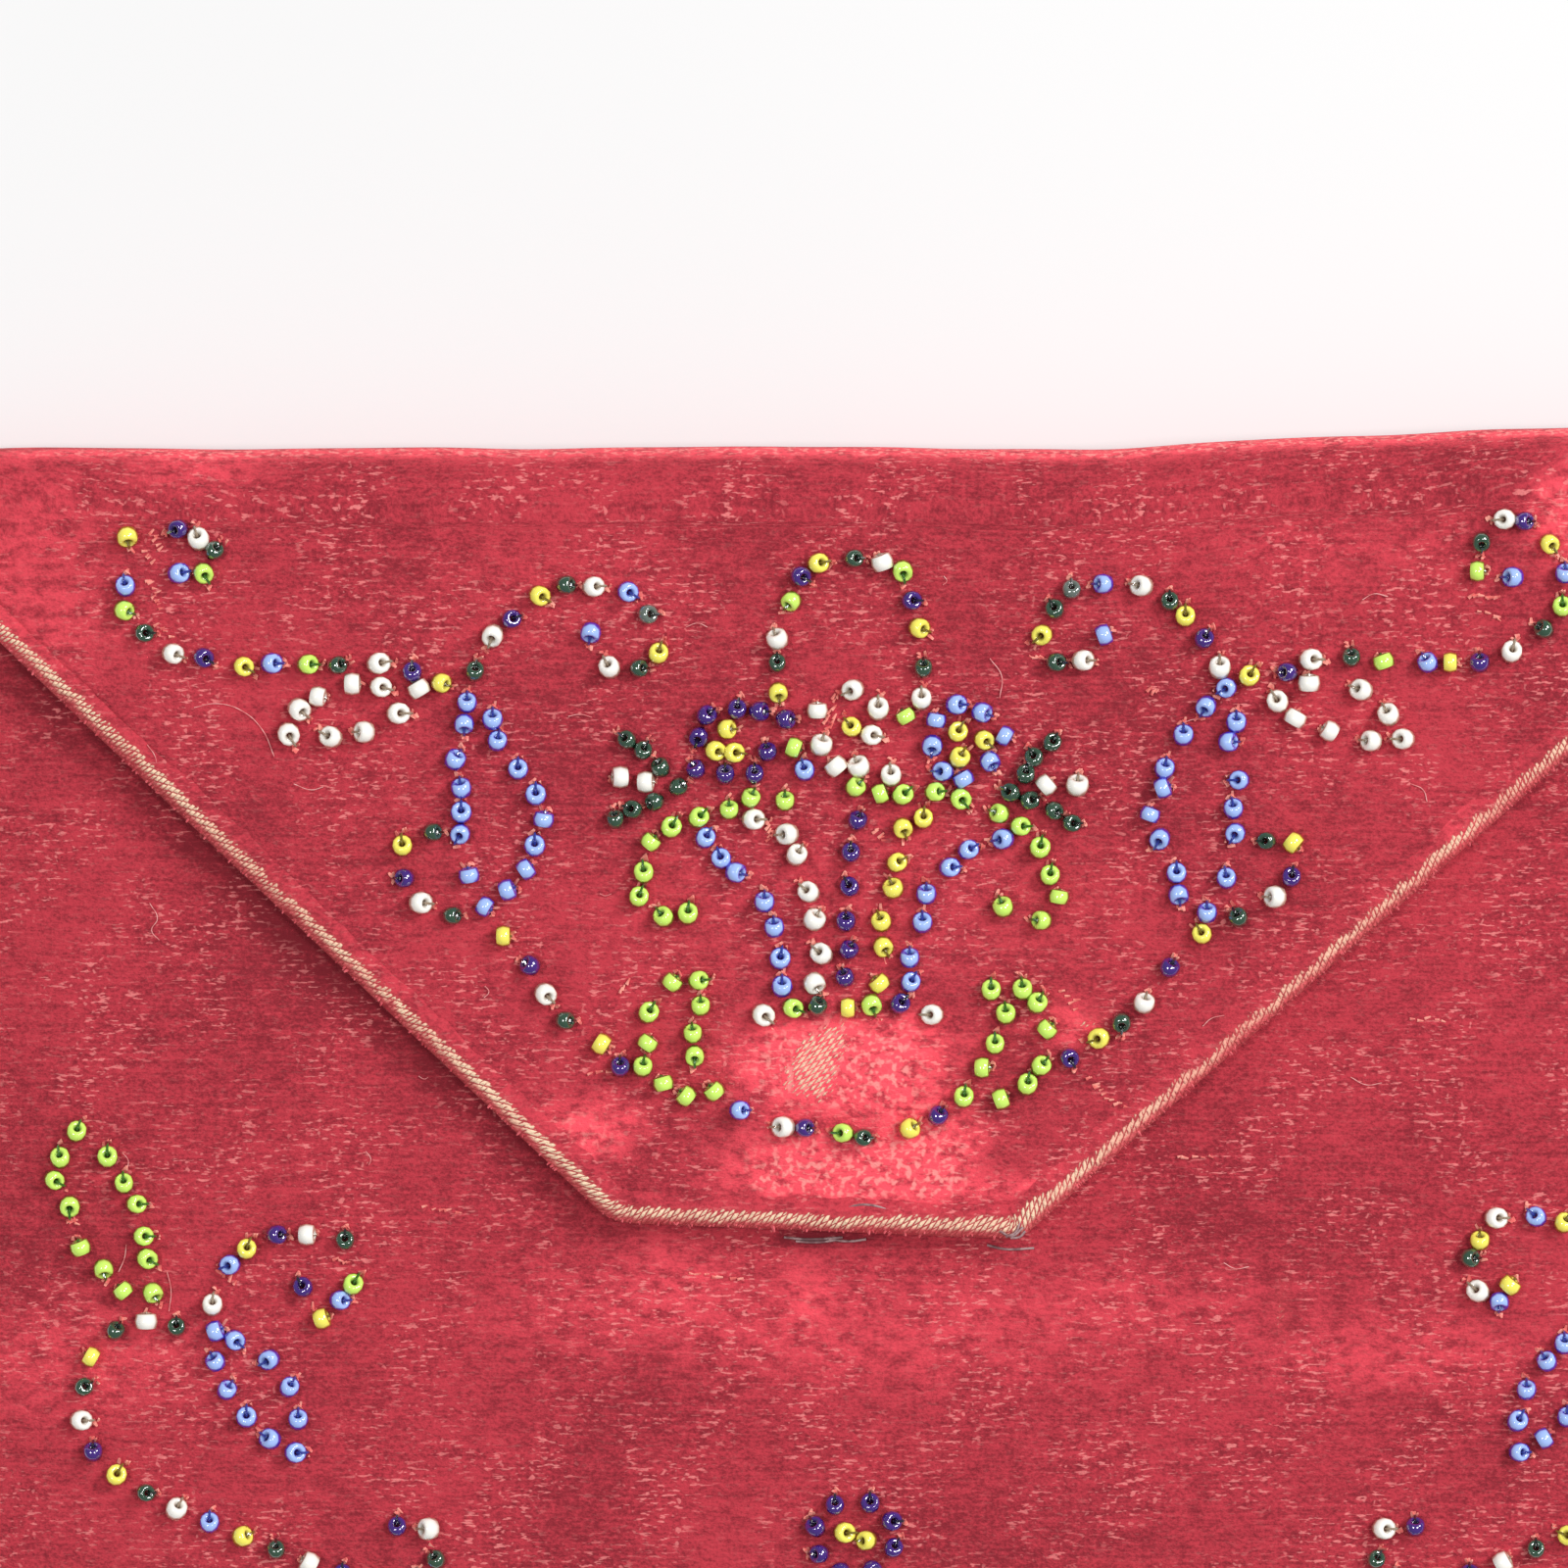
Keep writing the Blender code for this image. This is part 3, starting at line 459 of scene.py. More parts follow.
@dataclass(frozen=True)
class VelvetFinish(Finish):
    """Crimson cut velvet with a short worn pile, and its bare ground weave where that is gone. Its
    rubbing value also carries a painted highlight on the fold's rim, and painted shadow below 0.
    """

    name: str = "crimson_velvet"
    base: Colour = srgb(192, 59, 72)
    deep: Colour = srgb(134, 38, 49)
    # Bright rubbed pile, also the colour of the painted highlight on the fold's rim.
    worn_and_painted_light: Colour = srgb(250, 84, 99)
    rubbed: Colour = srgb(255, 150, 146)
    lint: Colour = srgb(246, 144, 142)
    cream: Colour = srgb(255, 224, 190)
    peach: Colour = srgb(226, 100, 104)
    slit: Colour = srgb(170, 72, 70)
    sheen: float = 0.24
    cloud: float = 0.026
    weft: float = 0.0140
    patch: float = 0.0080
    nap: float = 0.0024
    dash: float = 0.0015
    rag: float = 0.0008
    curl: float = 0.00075
    grain: float = 0.00050
    relief: float = 0.00028
    cell_pitch: float = 0.00044
    row_pitch: float = 0.00052

    def pile(self, n: Nodes, cloth: Socket, grain: Socket, nap: Socket) -> Socket:
        """Paint the pile: clouds, mottling, rubbed places with the painted highlights and shadows that
        ride on them, and the weft's light dashes.

        Args:
            n: The material in the making.
            cloth: Places on the cloth.
            grain: The finest mottling.
            nap: The way the pile lies.

        Returns:
            The pile's colour.
        """
        wear = n.attribute("wear")
        cloud = n.noise(cloth, self.cloud, 3)
        weft = n.noise(n.turned(cloth, (1, 30, 1)), self.weft, 2, 0.6)
        # Below 0 the rubbing value is painted shadow, which darkens the tone.
        crushed_and_shaded = n.math("MINIMUM", wear, 0.0)
        tone = n.plus(n.times(cloud, 0.7), n.times(nap, 0.8), n.times(grain, 1.1),
                      n.times(weft, 0.45), crushed_and_shaded)
        colour = n.mix(n.between(tone, 1.20, 1.80), self.deep, self.base)
        # Rubbed pile turns bright here, and the painted highlight on the fold's rim with it.
        rub = n.times(wear, n.plus(0.22, n.between(nap, 0.36, 0.60),
                                   n.times(n.between(grain, 0.3, 0.7), 0.35)))
        colour = n.mix(n.math("MINIMUM", rub, 1.0), colour, self.worn_and_painted_light)
        curl = n.noise(cloth, self.curl, 1, 0.5)
        pale = n.times(n.between(wear, 0.5, 1.1), n.between(curl, 0.48, 0.66))
        colour = n.mix(n.times(pale, 0.95), colour, self.rubbed)
        dash = n.noise(n.turned(cloth, (1, 3.8, 1)), self.dash, 2, 0.6)
        patches = n.between(n.noise(cloth, self.patch, 2), 0.40, 0.62, 0.10, 1.0)
        lines = n.times(n.between(dash, 0.565, 0.65), patches)
        specks = n.times(n.between(curl, 0.64, 0.73), patches, 0.8)
        share = n.math("MAXIMUM", lines, specks)
        return n.mix(n.times(share, 0.64), colour, self.lint)

    def weave(self, n: Nodes) -> tuple[Socket, Socket]:
        """Paint the ground weave, and return its colour and its relief."""
        edge = n.attribute("edge", "Vector")
        twill = n.attribute("twill")
        plain = n.ribs(n.turned(edge, turn=12), self.cell_pitch, "X", 0.7)
        slanted = n.ribs(n.turned(edge, turn=36), self.cell_pitch, "X", 0.5)
        rows = n.ribs(n.turned(edge, turn=-24), self.row_pitch, "Y", 0.8)
        ribs = n.plus(n.times(plain, n.math("SUBTRACT", 1.0, twill)), n.times(slanted, twill))
        relief = n.math("MINIMUM", ribs, n.plus(0.06, n.times(rows, 0.94)))
        colour = n.mix(n.attribute("tone"), self.peach, self.cream)
        gap = n.mix(n.attribute("wear"), self.slit, self.worn_and_painted_light)
        return n.mix(n.between(relief, 0.26, 0.05), colour, gap), relief

    def paint(self, n: Nodes) -> None:
        """Paint the pile, and the weave where the cloth is bare."""
        cloth = n.attribute("cloth", "Vector")
        grain = n.noise(n.turned(cloth, (1, 1.5, 1)), self.grain, 2, 0.7)
        nap = n.noise(n.turned(cloth, (1, 1.7, 1)), self.nap, 4, 0.62)
        pile = self.pile(n, cloth, grain, nap)
        weave, relief = self.weave(n)
        ragged = n.noise(cloth, self.rag, 2, 0.6)
        bare = n.attribute("bare")
        show = n.times(bare, n.plus(0.45, n.times(relief, 0.65)))
        show = n.between(n.plus(show, n.times(ragged, 1.1), -0.55), 0.34, 0.60)
        hollow = n.mix(n.attribute("wear"), self.slit, self.worn_and_painted_light)
        pile = n.mix(n.times(bare, 0.5), pile, hollow)
        n.set(Base_Color=n.mix(show, pile, weave), Roughness=0.86, Sheen_Weight=self.sheen,
              Sheen_Roughness=0.45, Sheen_Tint=self.rubbed, Specular_IOR_Level=0.12)
        height = n.plus(n.times(grain, 0.8), n.times(nap, 0.8), n.times(relief, show, 0.6))
        n.bump(height, self.relief, 0.8)


@dataclass(frozen=True)
class SatinFinish(Finish):
    """Red lining satin with a soft gloss along its threads."""

    name: str = "lining_satin"
    base: Colour = srgb(160, 30, 42)
    light: Colour = srgb(192, 52, 62)
    pitch: float = 0.0003

    def paint(self, n: Nodes) -> None:
        """Paint fine threads and soft clouds."""
        cloth = n.attribute("cloth", "Vector")
        thread = n.noise(n.turned(cloth, (1, 14, 1)), 0.004)
        cloud = n.noise(cloth, 0.02)
        tone = n.plus(n.times(thread, 0.7), n.times(cloud, 0.5))
        colour = n.mix(n.between(tone, 0.35, 0.85), self.base, self.light)
        n.set(Base_Color=colour, Roughness=0.38, Sheen_Weight=0.2, Anisotropic=0.4)
        weave = n.ribs(cloth, self.pitch, "Y", 0.4)
        n.bump(n.plus(weave, n.times(thread, 0.8)), 0.00006, 0.6)


@dataclass(frozen=True)
class CanvasFinish(Finish):
    """Stiff woven interlining in an undyed canvas."""

    name: str = "interlining_canvas"
    base: Colour = srgb(214, 198, 166)
    dark: Colour = srgb(176, 156, 122)
    pitch: float = 0.0009

    def paint(self, n: Nodes) -> None:
        """Paint a plain weave."""
        spot = n.place()
        weave = n.times(*(n.ribs(spot, self.pitch, axis, 0.5) for axis in "XY"))
        grain = n.noise(spot, 0.002, 3)
        colour = n.mix(n.between(n.plus(weave, grain), 0.4, 1.2), self.dark, self.base)
        n.set(Base_Color=colour, Roughness=0.9)
        n.bump(weave, 0.0002, 0.8)


@dataclass(frozen=True)
class ThreadFinish(Finish):
    """Sewing thread with its twist."""

    name: str = "sewing_thread"
    base: Colour = srgb(140, 34, 42)
    light: Colour = srgb(190, 70, 76)
    pitch: float = 0.0003

    def paint(self, n: Nodes) -> None:
        """Paint the slanted plies."""
        twist = n.ribs(n.turned(n.place(), turn=35), self.pitch, "X", 0.6)
        colour = n.mix(n.between(twist, 0.2, 0.8), self.base, self.light)
        n.set(Base_Color=colour, Roughness=0.6, Sheen_Weight=0.15)
        n.bump(twist, 0.00008, 0.6)


@dataclass(frozen=True)
class MetalFinish(Finish):
    """Plated steel with a dull, finely rubbed surface."""

    name: str = "plated_steel"
    base: Colour = srgb(196, 197, 200)
    dull: Colour = srgb(150, 148, 146)

    def paint(self, n: Nodes) -> None:
        """Paint dull clouds and fine rubbing."""
        spot = n.place()
        rub = n.noise(n.turned(spot, (1, 6, 1)), 0.0012, 3)
        cloud = n.noise(spot, 0.003, 3)
        colour = n.mix(n.between(cloud, 0.35, 0.7), self.dull, self.base)
        n.set(Base_Color=colour, Metallic=1.0, Roughness=n.between(rub, 0.3, 0.7, 0.22, 0.42))
        n.bump(rub, 0.00003, 0.5)


@dataclass(frozen=True)
class GlassFinish(Finish):
    """Glossy opaque glass of a seed bead, with painted shade round its outline and in its hole."""

    body: Colour
    rim: Colour
    dark: Colour
    roughness: float = 0.14
    width: float = 0.0022
    length: float = 0.00150
    gloss: float = 0.6
    outline: float = 0.44
    fade: float = 0.28

    def paint(self, n: Nodes) -> None:
        """Paint the body, the painted shade and reflection round its outline, and the painted shade in
        its hole.
        """
        cloud = n.noise(n.place(), 0.0011, 1)
        # The outline darkens towards the rim colour by facing: painted shade, and on the pale beads a
        # painted reflection of the red pile.
        facing = n.add("ShaderNodeLayerWeight", {"Blend": 0.5}).outputs["Facing"]
        share = n.plus(facing, n.times(cloud, 0.25), -0.12)
        share = n.between(share, self.outline, self.outline + self.fade)
        colour = n.mix(n.attribute("hole"), n.mix(share, self.body, self.rim), self.dark)
        n.set(Base_Color=colour, Roughness=self.roughness, Specular_IOR_Level=self.gloss,
              Coat_Weight=self.gloss, Coat_Roughness=0.07, Coat_IOR=1.2 + self.gloss * 0.8)
        n.bump(cloud, 0.00003, 0.4)


@dataclass(frozen=True)
class PlainFibreFinish(Finish):
    """A fine fibre, a little uneven in colour."""

    base: Colour
    light: Colour

    def paint(self, n: Nodes) -> None:
        """Paint soft clouds."""
        cloud = n.noise(n.place(), 0.0008)
        colour = n.mix(n.between(cloud, 0.35, 0.65), self.base, self.light)
        n.set(Base_Color=colour, Roughness=0.8, Sheen_Weight=0.1)


@dataclass(frozen=True)
class FloorFinish(Finish):
    """A plain pale floor that the camera sees as near white."""

    name: str = "pale_floor"
    base: Colour = (0.80, 0.80, 0.80)
    light: Colour = (0.83, 0.83, 0.83)

    def paint(self, n: Nodes) -> None:
        """Paint faint clouds."""
        cloud = n.noise(n.place(), 0.3)
        colour = n.mix(n.between(cloud, 0.3, 0.7), self.base, self.light)
        n.set(Base_Color=colour, Roughness=0.7)


class Glass(Enum):
    """The colours of the seed beads, by their letter in the chart."""

    # Each glass: its body, the rim colour of its painted shade and reflection round the outline, and
    # the dark colour of the painted shade in its hole and on its thread.
    W = GlassFinish("ivory_glass", srgb(255, 252, 244), srgb(218, 188, 164),
                    srgb(156, 138, 118), 0.16, 0.00236, 0.00162)
    Y = GlassFinish("yellow_glass", srgb(255, 244, 104), srgb(170, 124, 26),
                    srgb(122, 104, 36), 0.16, 0.00224)
    L = GlassFinish("lime_glass", srgb(212, 252, 112), srgb(118, 122, 30),
                    srgb(58, 108, 34), 0.14, 0.00224)
    S = GlassFinish("sky_glass", srgb(168, 196, 255), srgb(78, 50, 196),
                    srgb(52, 62, 150), 0.12, 0.00220, outline=0.32)
    C = GlassFinish("cobalt_glass", srgb(66, 28, 128), srgb(30, 6, 70),
                    srgb(22, 14, 44), 0.06, 0.00214, gloss=1.0)
    G = GlassFinish("green_glass", srgb(46, 80, 60), srgb(16, 30, 24),
                    srgb(14, 22, 18), 0.06, 0.00204, gloss=1.0)
    D = GlassFinish("grey_glass", srgb(104, 116, 108), srgb(50, 56, 50),
                    srgb(40, 38, 34), 0.08, 0.00208, gloss=1.0)


class Fibre(Enum):
    """The fine fibres on and round the velvet."""

    # The raised pile's pale colour is partly a painted highlight of fibres catching light.
    TUFT = PlainFibreFinish("raised_pile", srgb(230, 104, 100), srgb(255, 168, 152))
    FRINGE = PlainFibreFinish("pile_fringe", srgb(182, 52, 64), srgb(226, 102, 110))
    LINT = PlainFibreFinish("lint_fibre", srgb(226, 120, 122), srgb(246, 180, 176))
    GREY = PlainFibreFinish("grey_thread", srgb(128, 88, 92), srgb(182, 150, 150))


class Palette:
    """Every finish as a material, made once."""

    def __init__(self) -> None:
        """Make the materials."""
        self.velvet = VelvetFinish().make()
        self.satin = SatinFinish().make()
        self.canvas = CanvasFinish().make()
        self.thread = ThreadFinish().make()
        self.metal = MetalFinish().make()
        self.fibre = {kind: kind.value.make() for kind in Fibre}
        self.glass = {kind: kind.value.make() for kind in Glass}


def deselect() -> None:
    """Leave edit mode and select nothing."""
    if bpy.context.object and bpy.context.object.mode != "OBJECT":
        bpy.ops.object.mode_set(mode="OBJECT")
    bpy.ops.object.select_all(action="DESELECT")


def activate(obj: Object) -> None:
    """Select one object alone, and make it the active one."""
    deselect()
    obj.select_set(True)
    bpy.context.view_layer.objects.active = obj


def read_points(obj: Object) -> Array:
    """The points of a piece's mesh, one to a row."""
    points = np.empty(len(obj.data.vertices) * 3)
    obj.data.vertices.foreach_get("co", points)
    return points.reshape(-1, 3)


def write_points(obj: Object, *parts: Array) -> None:
    """Move a piece's points to new places, given as x, y and z."""
    obj.data.vertices.foreach_set("co", np.stack(parts, axis=1).ravel())
    obj.data.update()


def write_value(obj: Object, name: str, values: Array) -> None:
    """Keep a number or a vector for each point of a piece.

    Args:
        obj: The piece.
        name: What the finish reads it by.
        values: The numbers, or the vectors one to a row.
    """
    kind, key = ("FLOAT_VECTOR", "vector") if values.ndim == 2 else ("FLOAT", "value")
    attribute = obj.data.attributes.new(name, kind, "POINT")
    attribute.data.foreach_set(key, values.astype(np.float32).ravel())


def write_plan(obj: Object, name: str, x: Array, y: Array) -> None:
    """Keep a place on the cloth for each point of a piece."""
    write_value(obj, name, np.stack((x, y, np.zeros_like(x)), axis=1))


def cloth_grid(name: str, columns: int, rows: int) -> tuple[Object, Array, Array]:
    """Add a flat grid to be laid as cloth.

    Args:
        name: The piece's name.
        columns: Cells across.
        rows: Cells along.

    Returns:
        The piece, and each point's share across and along, from 0 to 1.
    """
    deselect()
    bpy.ops.mesh.primitive_grid_add(x_subdivisions=columns, y_subdivisions=rows, size=2)
    obj = bpy.context.object
    obj.name = name
    points = read_points(obj)
    return obj, (points[:, 0] + 1) / 2, (points[:, 1] + 1) / 2


def crowd(side: Array) -> Array:
    """Crowd columns, which run from -1 to 1, towards both sides."""
    return side * (1 + 0.3 * (1 - side ** 2))


def thicken(obj: Object, thickness: float) -> None:
    """Give a sheet its thickness on the side away from its faces."""
    activate(obj)
    solid = obj.modifiers.new("thickness", "SOLIDIFY")
    solid.thickness = thickness
    solid.offset = -1.0
    solid.use_even_offset = False
    bpy.ops.object.modifier_apply(modifier=solid.name)


def flip(obj: Object) -> None:
    """Turn a sheet's faces to its other side."""
    activate(obj)
    bpy.ops.object.mode_set(mode="EDIT")
    bpy.ops.mesh.select_all(action="SELECT")
    bpy.ops.mesh.flip_normals()
    bpy.ops.object.mode_set(mode="OBJECT")


def copy_part(source: Object, move: Matrix) -> Object:
    """Copy a part, with its own mesh, and move the copy's mesh."""
    copy = source.copy()
    copy.data = source.data.copy()
    bpy.context.scene.collection.objects.link(copy)
    copy.data.transform(move)
    return copy


def join(parts: list[Object], name: str) -> Object:
    """Join some parts into one piece with a name."""
    deselect()
    for part in parts:
        part.select_set(True)
    bpy.context.view_layer.objects.active = parts[0]
    bpy.ops.object.join()
    piece = bpy.context.object
    piece.name = name
    return piece


def dress(obj: Object, material: Material) -> None:
    """Give an object one material in place of its own."""
    obj.data.materials.clear()
    obj.data.materials.append(material)


def shade(obj: Object, material: Material, angle: float = 60.0) -> None:
    """Give a piece its material and smooth shading."""
    activate(obj)
    dress(obj, material)
    bpy.ops.object.shade_smooth_by_angle(angle=math.radians(angle))


def bend(obj: Object) -> None:
    """Move a finished piece's points to its turn values along Z for a moment.

    Its transform is baked while they stand there, and then they go back to their places.
    """
    points = read_points(obj)
    turned = np.empty(len(points))
    obj.data.attributes["turn"].data.foreach_get("value", turned)
    write_points(obj, turned * 0, turned * 0, turned)
    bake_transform(obj)
    write_points(obj, *points.T)


def register(obj: Object, slot: str, *nodes: str, body: str = "") -> Object:
    """Attach a finished piece to its body, or pass it to bend, hide the frame's nodes that it stands
    for, and log its faces.

    Args:
        obj: The piece.
        slot: Not used.
        *nodes: The frame's nodes that it stands for.
        body: The body that it moves with, or nothing, where bend takes it instead.

    Returns:
        The piece.
    """
    if body:
        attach(obj, body)
    else:
        bend(obj)
    if nodes:
        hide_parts(*nodes)
    LOG.info("%s: %d faces", obj.name, len(obj.data.polygons))
    return obj


def paint_pile(obj: Object, cloth: tuple[Array, Array], wear: Array, bare: Array,
               edge: tuple[Array, Array], tone: Array | float, twill: Array | float) -> None:
    """Keep what the velvet's finish reads for each point of a piece.

    Args:
        obj: The piece.
        cloth: Places across and along the cloth.
        wear: How far the pile is rubbed bright, with painted highlights, and how dark its painted
            shadow is below 0.
        bare: How far the ground weave shows.
        edge: Places that the weave's own ribs run by.
        tone: How light the bare weave is.
        twill: Whether the bare weave shows as cells and not as plain ribs.
    """
    write_plan(obj, "cloth", *cloth)
    write_plan(obj, "edge", *edge)
    write_value(obj, "wear", np.clip(wear, -1, 1))
    write_value(obj, "bare", np.clip(bare, 0, 1))
    write_value(obj, "tone", tone + np.zeros_like(wear))
    write_value(obj, "twill", twill + np.zeros_like(wear))


@dataclass(frozen=True)
class WearAndShadowPlace:
    """A place, in pixels, where the pile is rubbed bright, or darkened as painted shadow with a share
    below 0.
    """

    middle_x: float
    middle_y: float
    reach_x: float
    reach_y: float
    share: float

    def on(self, x: Array, y: Array) -> Array:
        """How far some places are rubbed bright, or darkened as painted shadow.

        Args:
            x: Their places across the bag.
            y: Their places along the bag.

        Returns:
            Up to this place's share for each of them.
        """
        middle = photo_place(self.middle_x, self.middle_y)
        uneven = 0.16 * min(self.reach_x, self.reach_y) * PIXEL + 0.0002
        across = x - middle[0] + uneven * ripple(x, y, 0.007, 61)
        along = y - middle[1] + uneven * ripple(x, y, 0.007, 62)
        away = (across / self.reach_x / PIXEL) ** 2 + (along / self.reach_y / PIXEL) ** 2
        return self.share * np.exp(-1.1 * away ** 1.5)


def wear_and_shadow_places(*rows: tuple) -> tuple[WearAndShadowPlace, ...]:
    """Places of rubbing and of painted shadow from rows of a middle, a reach and a share."""
    return tuple(WearAndShadowPlace(*row) for row in rows)


def wear_and_shadow_sum(places: tuple[WearAndShadowPlace, ...], x: Array, y: Array) -> Array:
    """How far each place in plan is rubbed bright, or darkened as painted shadow, by some such places
    together.
    """
    return sum(place.on(x, y) for place in places)


FLAP_WEAR = wear_and_shadow_places(
    (858, 1086, 116, 54, 1.25), (812, 1184, 84, 38, 0.90), (945, 1178, 64, 52, 0.95),
    (870, 1212, 130, 24, 0.55), (600, 1152, 58, 32, 0.75), (1050, 1212, 42, 16, 0.60),
    (28, 560, 75, 100, 0.38), (60, 650, 90, 50, 0.22), (200, 480, 70, 24, 0.45),
    (1592, 525, 34, 52, 0.75), (1380, 560, 150, 40, 0.18), (1500, 850, 20, 22, 0.32),
    (1090, 1045, 40, 26, 0.55), (880, 930, 260, 90, 0.12), (560, 600, 200, 60, 0.10),
)
FLAP_BARE = wear_and_shadow_places(
    (832, 1084, 30, 42, 0.95), (1497, 850, 12, 14, 0.45), (1098, 1042, 17, 8, 0.55),
)
FRONT_BARE = wear_and_shadow_places(
    (1308, 1338, 9, 34, 0.42), (824, 1306, 10, 24, 0.30),
)
# Rubbed places on the front; the last, just below the flap's tip, is painted shadow with a share below
# 0.
FRONT_WEAR_AND_SHADOW = wear_and_shadow_places(
    (900, 1360, 230, 60, 0.32), (690, 1300, 60, 40, 0.30), (600, 1340, 130, 50, 0.25),
    (60, 1390, 160, 60, 0.35), (825, 1315, 26, 40, 0.40), (1420, 1385, 150, 40, 0.35),
    (1180, 1330, 180, 40, 0.20), (835, 1263, 46, 8, -0.70),
)

# The beads of each motif in the order they are strung: a colour, a pixel of the photograph
# and which way the hole looks, in degrees from the right. A small letter lies on its side.
FLAP_CHART = {
    "upper_garland_left": (
        "S183,585,10 L208,585,300 G219,562,45 W203,550,110 C182,540,200 Y130,548,280 "
        "S128,598,100 L127,623,340 G147,646,0 W177,667,340 C208,671,330 Y249,680,330 S278,677,0 "
        "L315,678,0 G345,679,20 W387,677,10 C421,686,90 Y451,697,340 G485,685,80 W503,649,250 "
        "C522,632,20 Y551,608,330 G578,597,0 W606,599,5 S641,604,330 D661,627,0 Y672,667,75 "
        "G652,682,0 W622,681,120 S603,646,260"),
    "upper_garland_right": (
        "S1543,589,180 l1507,583,0 G1511,553,270 W1535,530,185 C1555,532,0 Y1581,555,310 "
        "S1597,585,90 L1594,619,90 G1575,642,150 W1542,665,75 C1509,676,90 y1479,676,0 "
        "S1456,676,120 l1411,675,110 G1378,671,90 W1337,673,0 C1313,686,180 Y1274,690,60 "
        "W1244,681,90 C1228,652,60 Y1209,629,90 G1193,614,90 W1164,598,170 S1125,596,180 "
        "D1093,602,90 G1076,622,120 Y1063,648,220 G1077,676,0 W1105,674,0 s1126,648,20"),
    "white_leaf_left": (
        "W295,749,300 W306,724,320 w325,711,350 w360,698,0 W389,701,345 w428,703,120 W407,728,0 "
        "W372,747,180 W338,752,155"),
    "white_leaf_right": (
        "W1303,716,120 w1321,733,60 w1356,746,150 W1398,756,175 W1431,754,180 W1416,729,120 "
        "W1388,704,160 w1335,697,90"),
    "blue_leaf_left": (
        "S477,717,90 S474,739,270 S465,775,60 S471,804,100 S471,829,90 S470,851,240 "
        "s479,893,100 s495,925,330 s518,908,20 s537,887,35 S546,863,90 s555,836,80 S547,811,90 "
        "S529,785,90 S508,756,80 S503,734,90"),
    "blue_leaf_right": (
        "S1230,721,240 S1207,750,90 S1188,784,80 s1186,804,20 s1173,831,70 S1183,856,240 "
        "S1200,891,90 S1202,913,280 S1231,931,90 S1251,896,100 S1260,850,240 S1258,825,100 "
        "S1264,796,180 S1253,757,0 S1261,737,90 S1251,702,210"),
    "lower_garland": (
        "G442,849,0 Y411,863,95 C413,896,180 W430,921,355 G462,934,0 y514,955,0 C541,985,150 "
        "W557,1014,315 G577,1041,0 y614,1065,328 C633,1088,90 L656,1088,80 l677,1105,105 "
        "l700,1118,140 l729,1113,130 S755,1132,0 W799,1149,180 C821,1150,0 L860,1155,180 "
        "G880,1160,0 Y928,1151,30 C957,1138,60 L983,1119,80 l1021,1121,20 L1048,1106,80 "
        "L1062,1087,50 C1091,1079,300 Y1121,1059,200 G1144,1043,270 W1167,1023,75 C1193,987,60 "
        "Y1226,953,120 G1263,936,120 W1300,915,180 C1317,895,80 y1319,860,320 G1292,858,180"),
    "lime_leaf_left": (
        "l661,1064,55 L662,1033,60 l686,1002,50 L713,1000,5 L715,1026,90 L707,1054,95 "
        "L709,1077,270"),
    "lime_leaf_right": (
        "l1002,1089,0 L1015,1065,90 L1026,1034,95 L1011,1010,90 L1043,1009,95 L1058,1023,60 "
        "l1068,1050,45"),
    "basket_handle": (
        "Y794,707,280 G793,677,90 W793,652,110 L807,614,230 C817,588,330 Y835,575,10 G871,570,0 "
        "w900,574,110 L921,583,280 C930,613,0 Y938,641,340 G942,682,90 W940,713,90 l924,731,120"),
    "cobalt_flower": (
        "C721,730,40 C713,752,250 C710,785,120 C740,790,90 C770,790,90 C783,767,100 C802,734,0 "
        "C775,726,0 C752,724,80 Y742,744,0 Y730,766,335 Y749,768,355"),
    "white_flower": (
        "W909,791,95 W876,782,112 w853,782,130 W838,760,75 w834,725,90 W870,704,205 W896,723,90 "
        "W889,750,350 Y869,742,130"),
    "sky_flower": (
        "S1002,727,340 s1025,751,330 S1010,777,300 s983,795,120 S962,787,180 S951,761,265 "
        "s955,735,80 S976,719,0 Y977,747,60 Y979,773,60 Y1004,755,320"),
    "lime_frond_left": (
        "l810,763,340 S821,786,105 L801,817,90 L766,814,65 L744,826,90 L713,834,45 L685,844,60 "
        "l664,859,50 L657,890,95 L652,915,70 L677,935,130 L702,932,85"),
    "lime_frond_right": (
        "L873,803,45 l898,810,20 L921,811,40 L954,808,5 L980,815,310 L1019,830,160 L1041,843,0 "
        "L1061,865,80 L1071,893,80 l1080,915,80 L1062,939,175 L1023,925,110"),
    "green_sprig_left": (
        "G640,755,140 G656,766,60 G674,783,120 G692,803,30 G668,818,200 G646,826,160 "
        "G628,836,100 w633,793,180 w659,798,0"),
    "green_sprig_right": (
        "G1073,758,60 G1055,773,120 G1046,790,80 G1031,809,150 G1050,817,20 G1075,827,330 "
        "G1093,840,0 w1067,801,40 W1099,801,85"),
    "basket_stave_1": (
        "S720,855,60 S736,876,110 S751,890,345 S780,920,90 S790,946,95 S796,978,80 S798,1006,90"),
    "basket_stave_2": (
        "W769,836,0 W803,851,185 W813,872,60 W825,910,140 W831,938,60 W838,973,140 "
        "W831,1003,300"),
    "basket_stave_3": "C875,837,70 C868,870,90 C867,905,120 C863,940,90 C866,969,60 C862,997,110",
    "basket_stave_4": (
        "Y942,835,85 Y921,845,290 Y915,880,30 Y911,906,110 Y899,940,110 Y901,966,300 "
        "y897,1003,130"),
    "basket_stave_5": (
        "S1023,856,190 S988,867,30 S969,885,5 S945,912,90 S941,941,90 S928,977,90 S929,1002,60"),
    "basket_rim": (
        "W779,1035,320 L809,1028,340 G834,1026,60 y865,1028,0 L889,1025,290 C918,1024,45 "
        "W951,1035,180"),
}
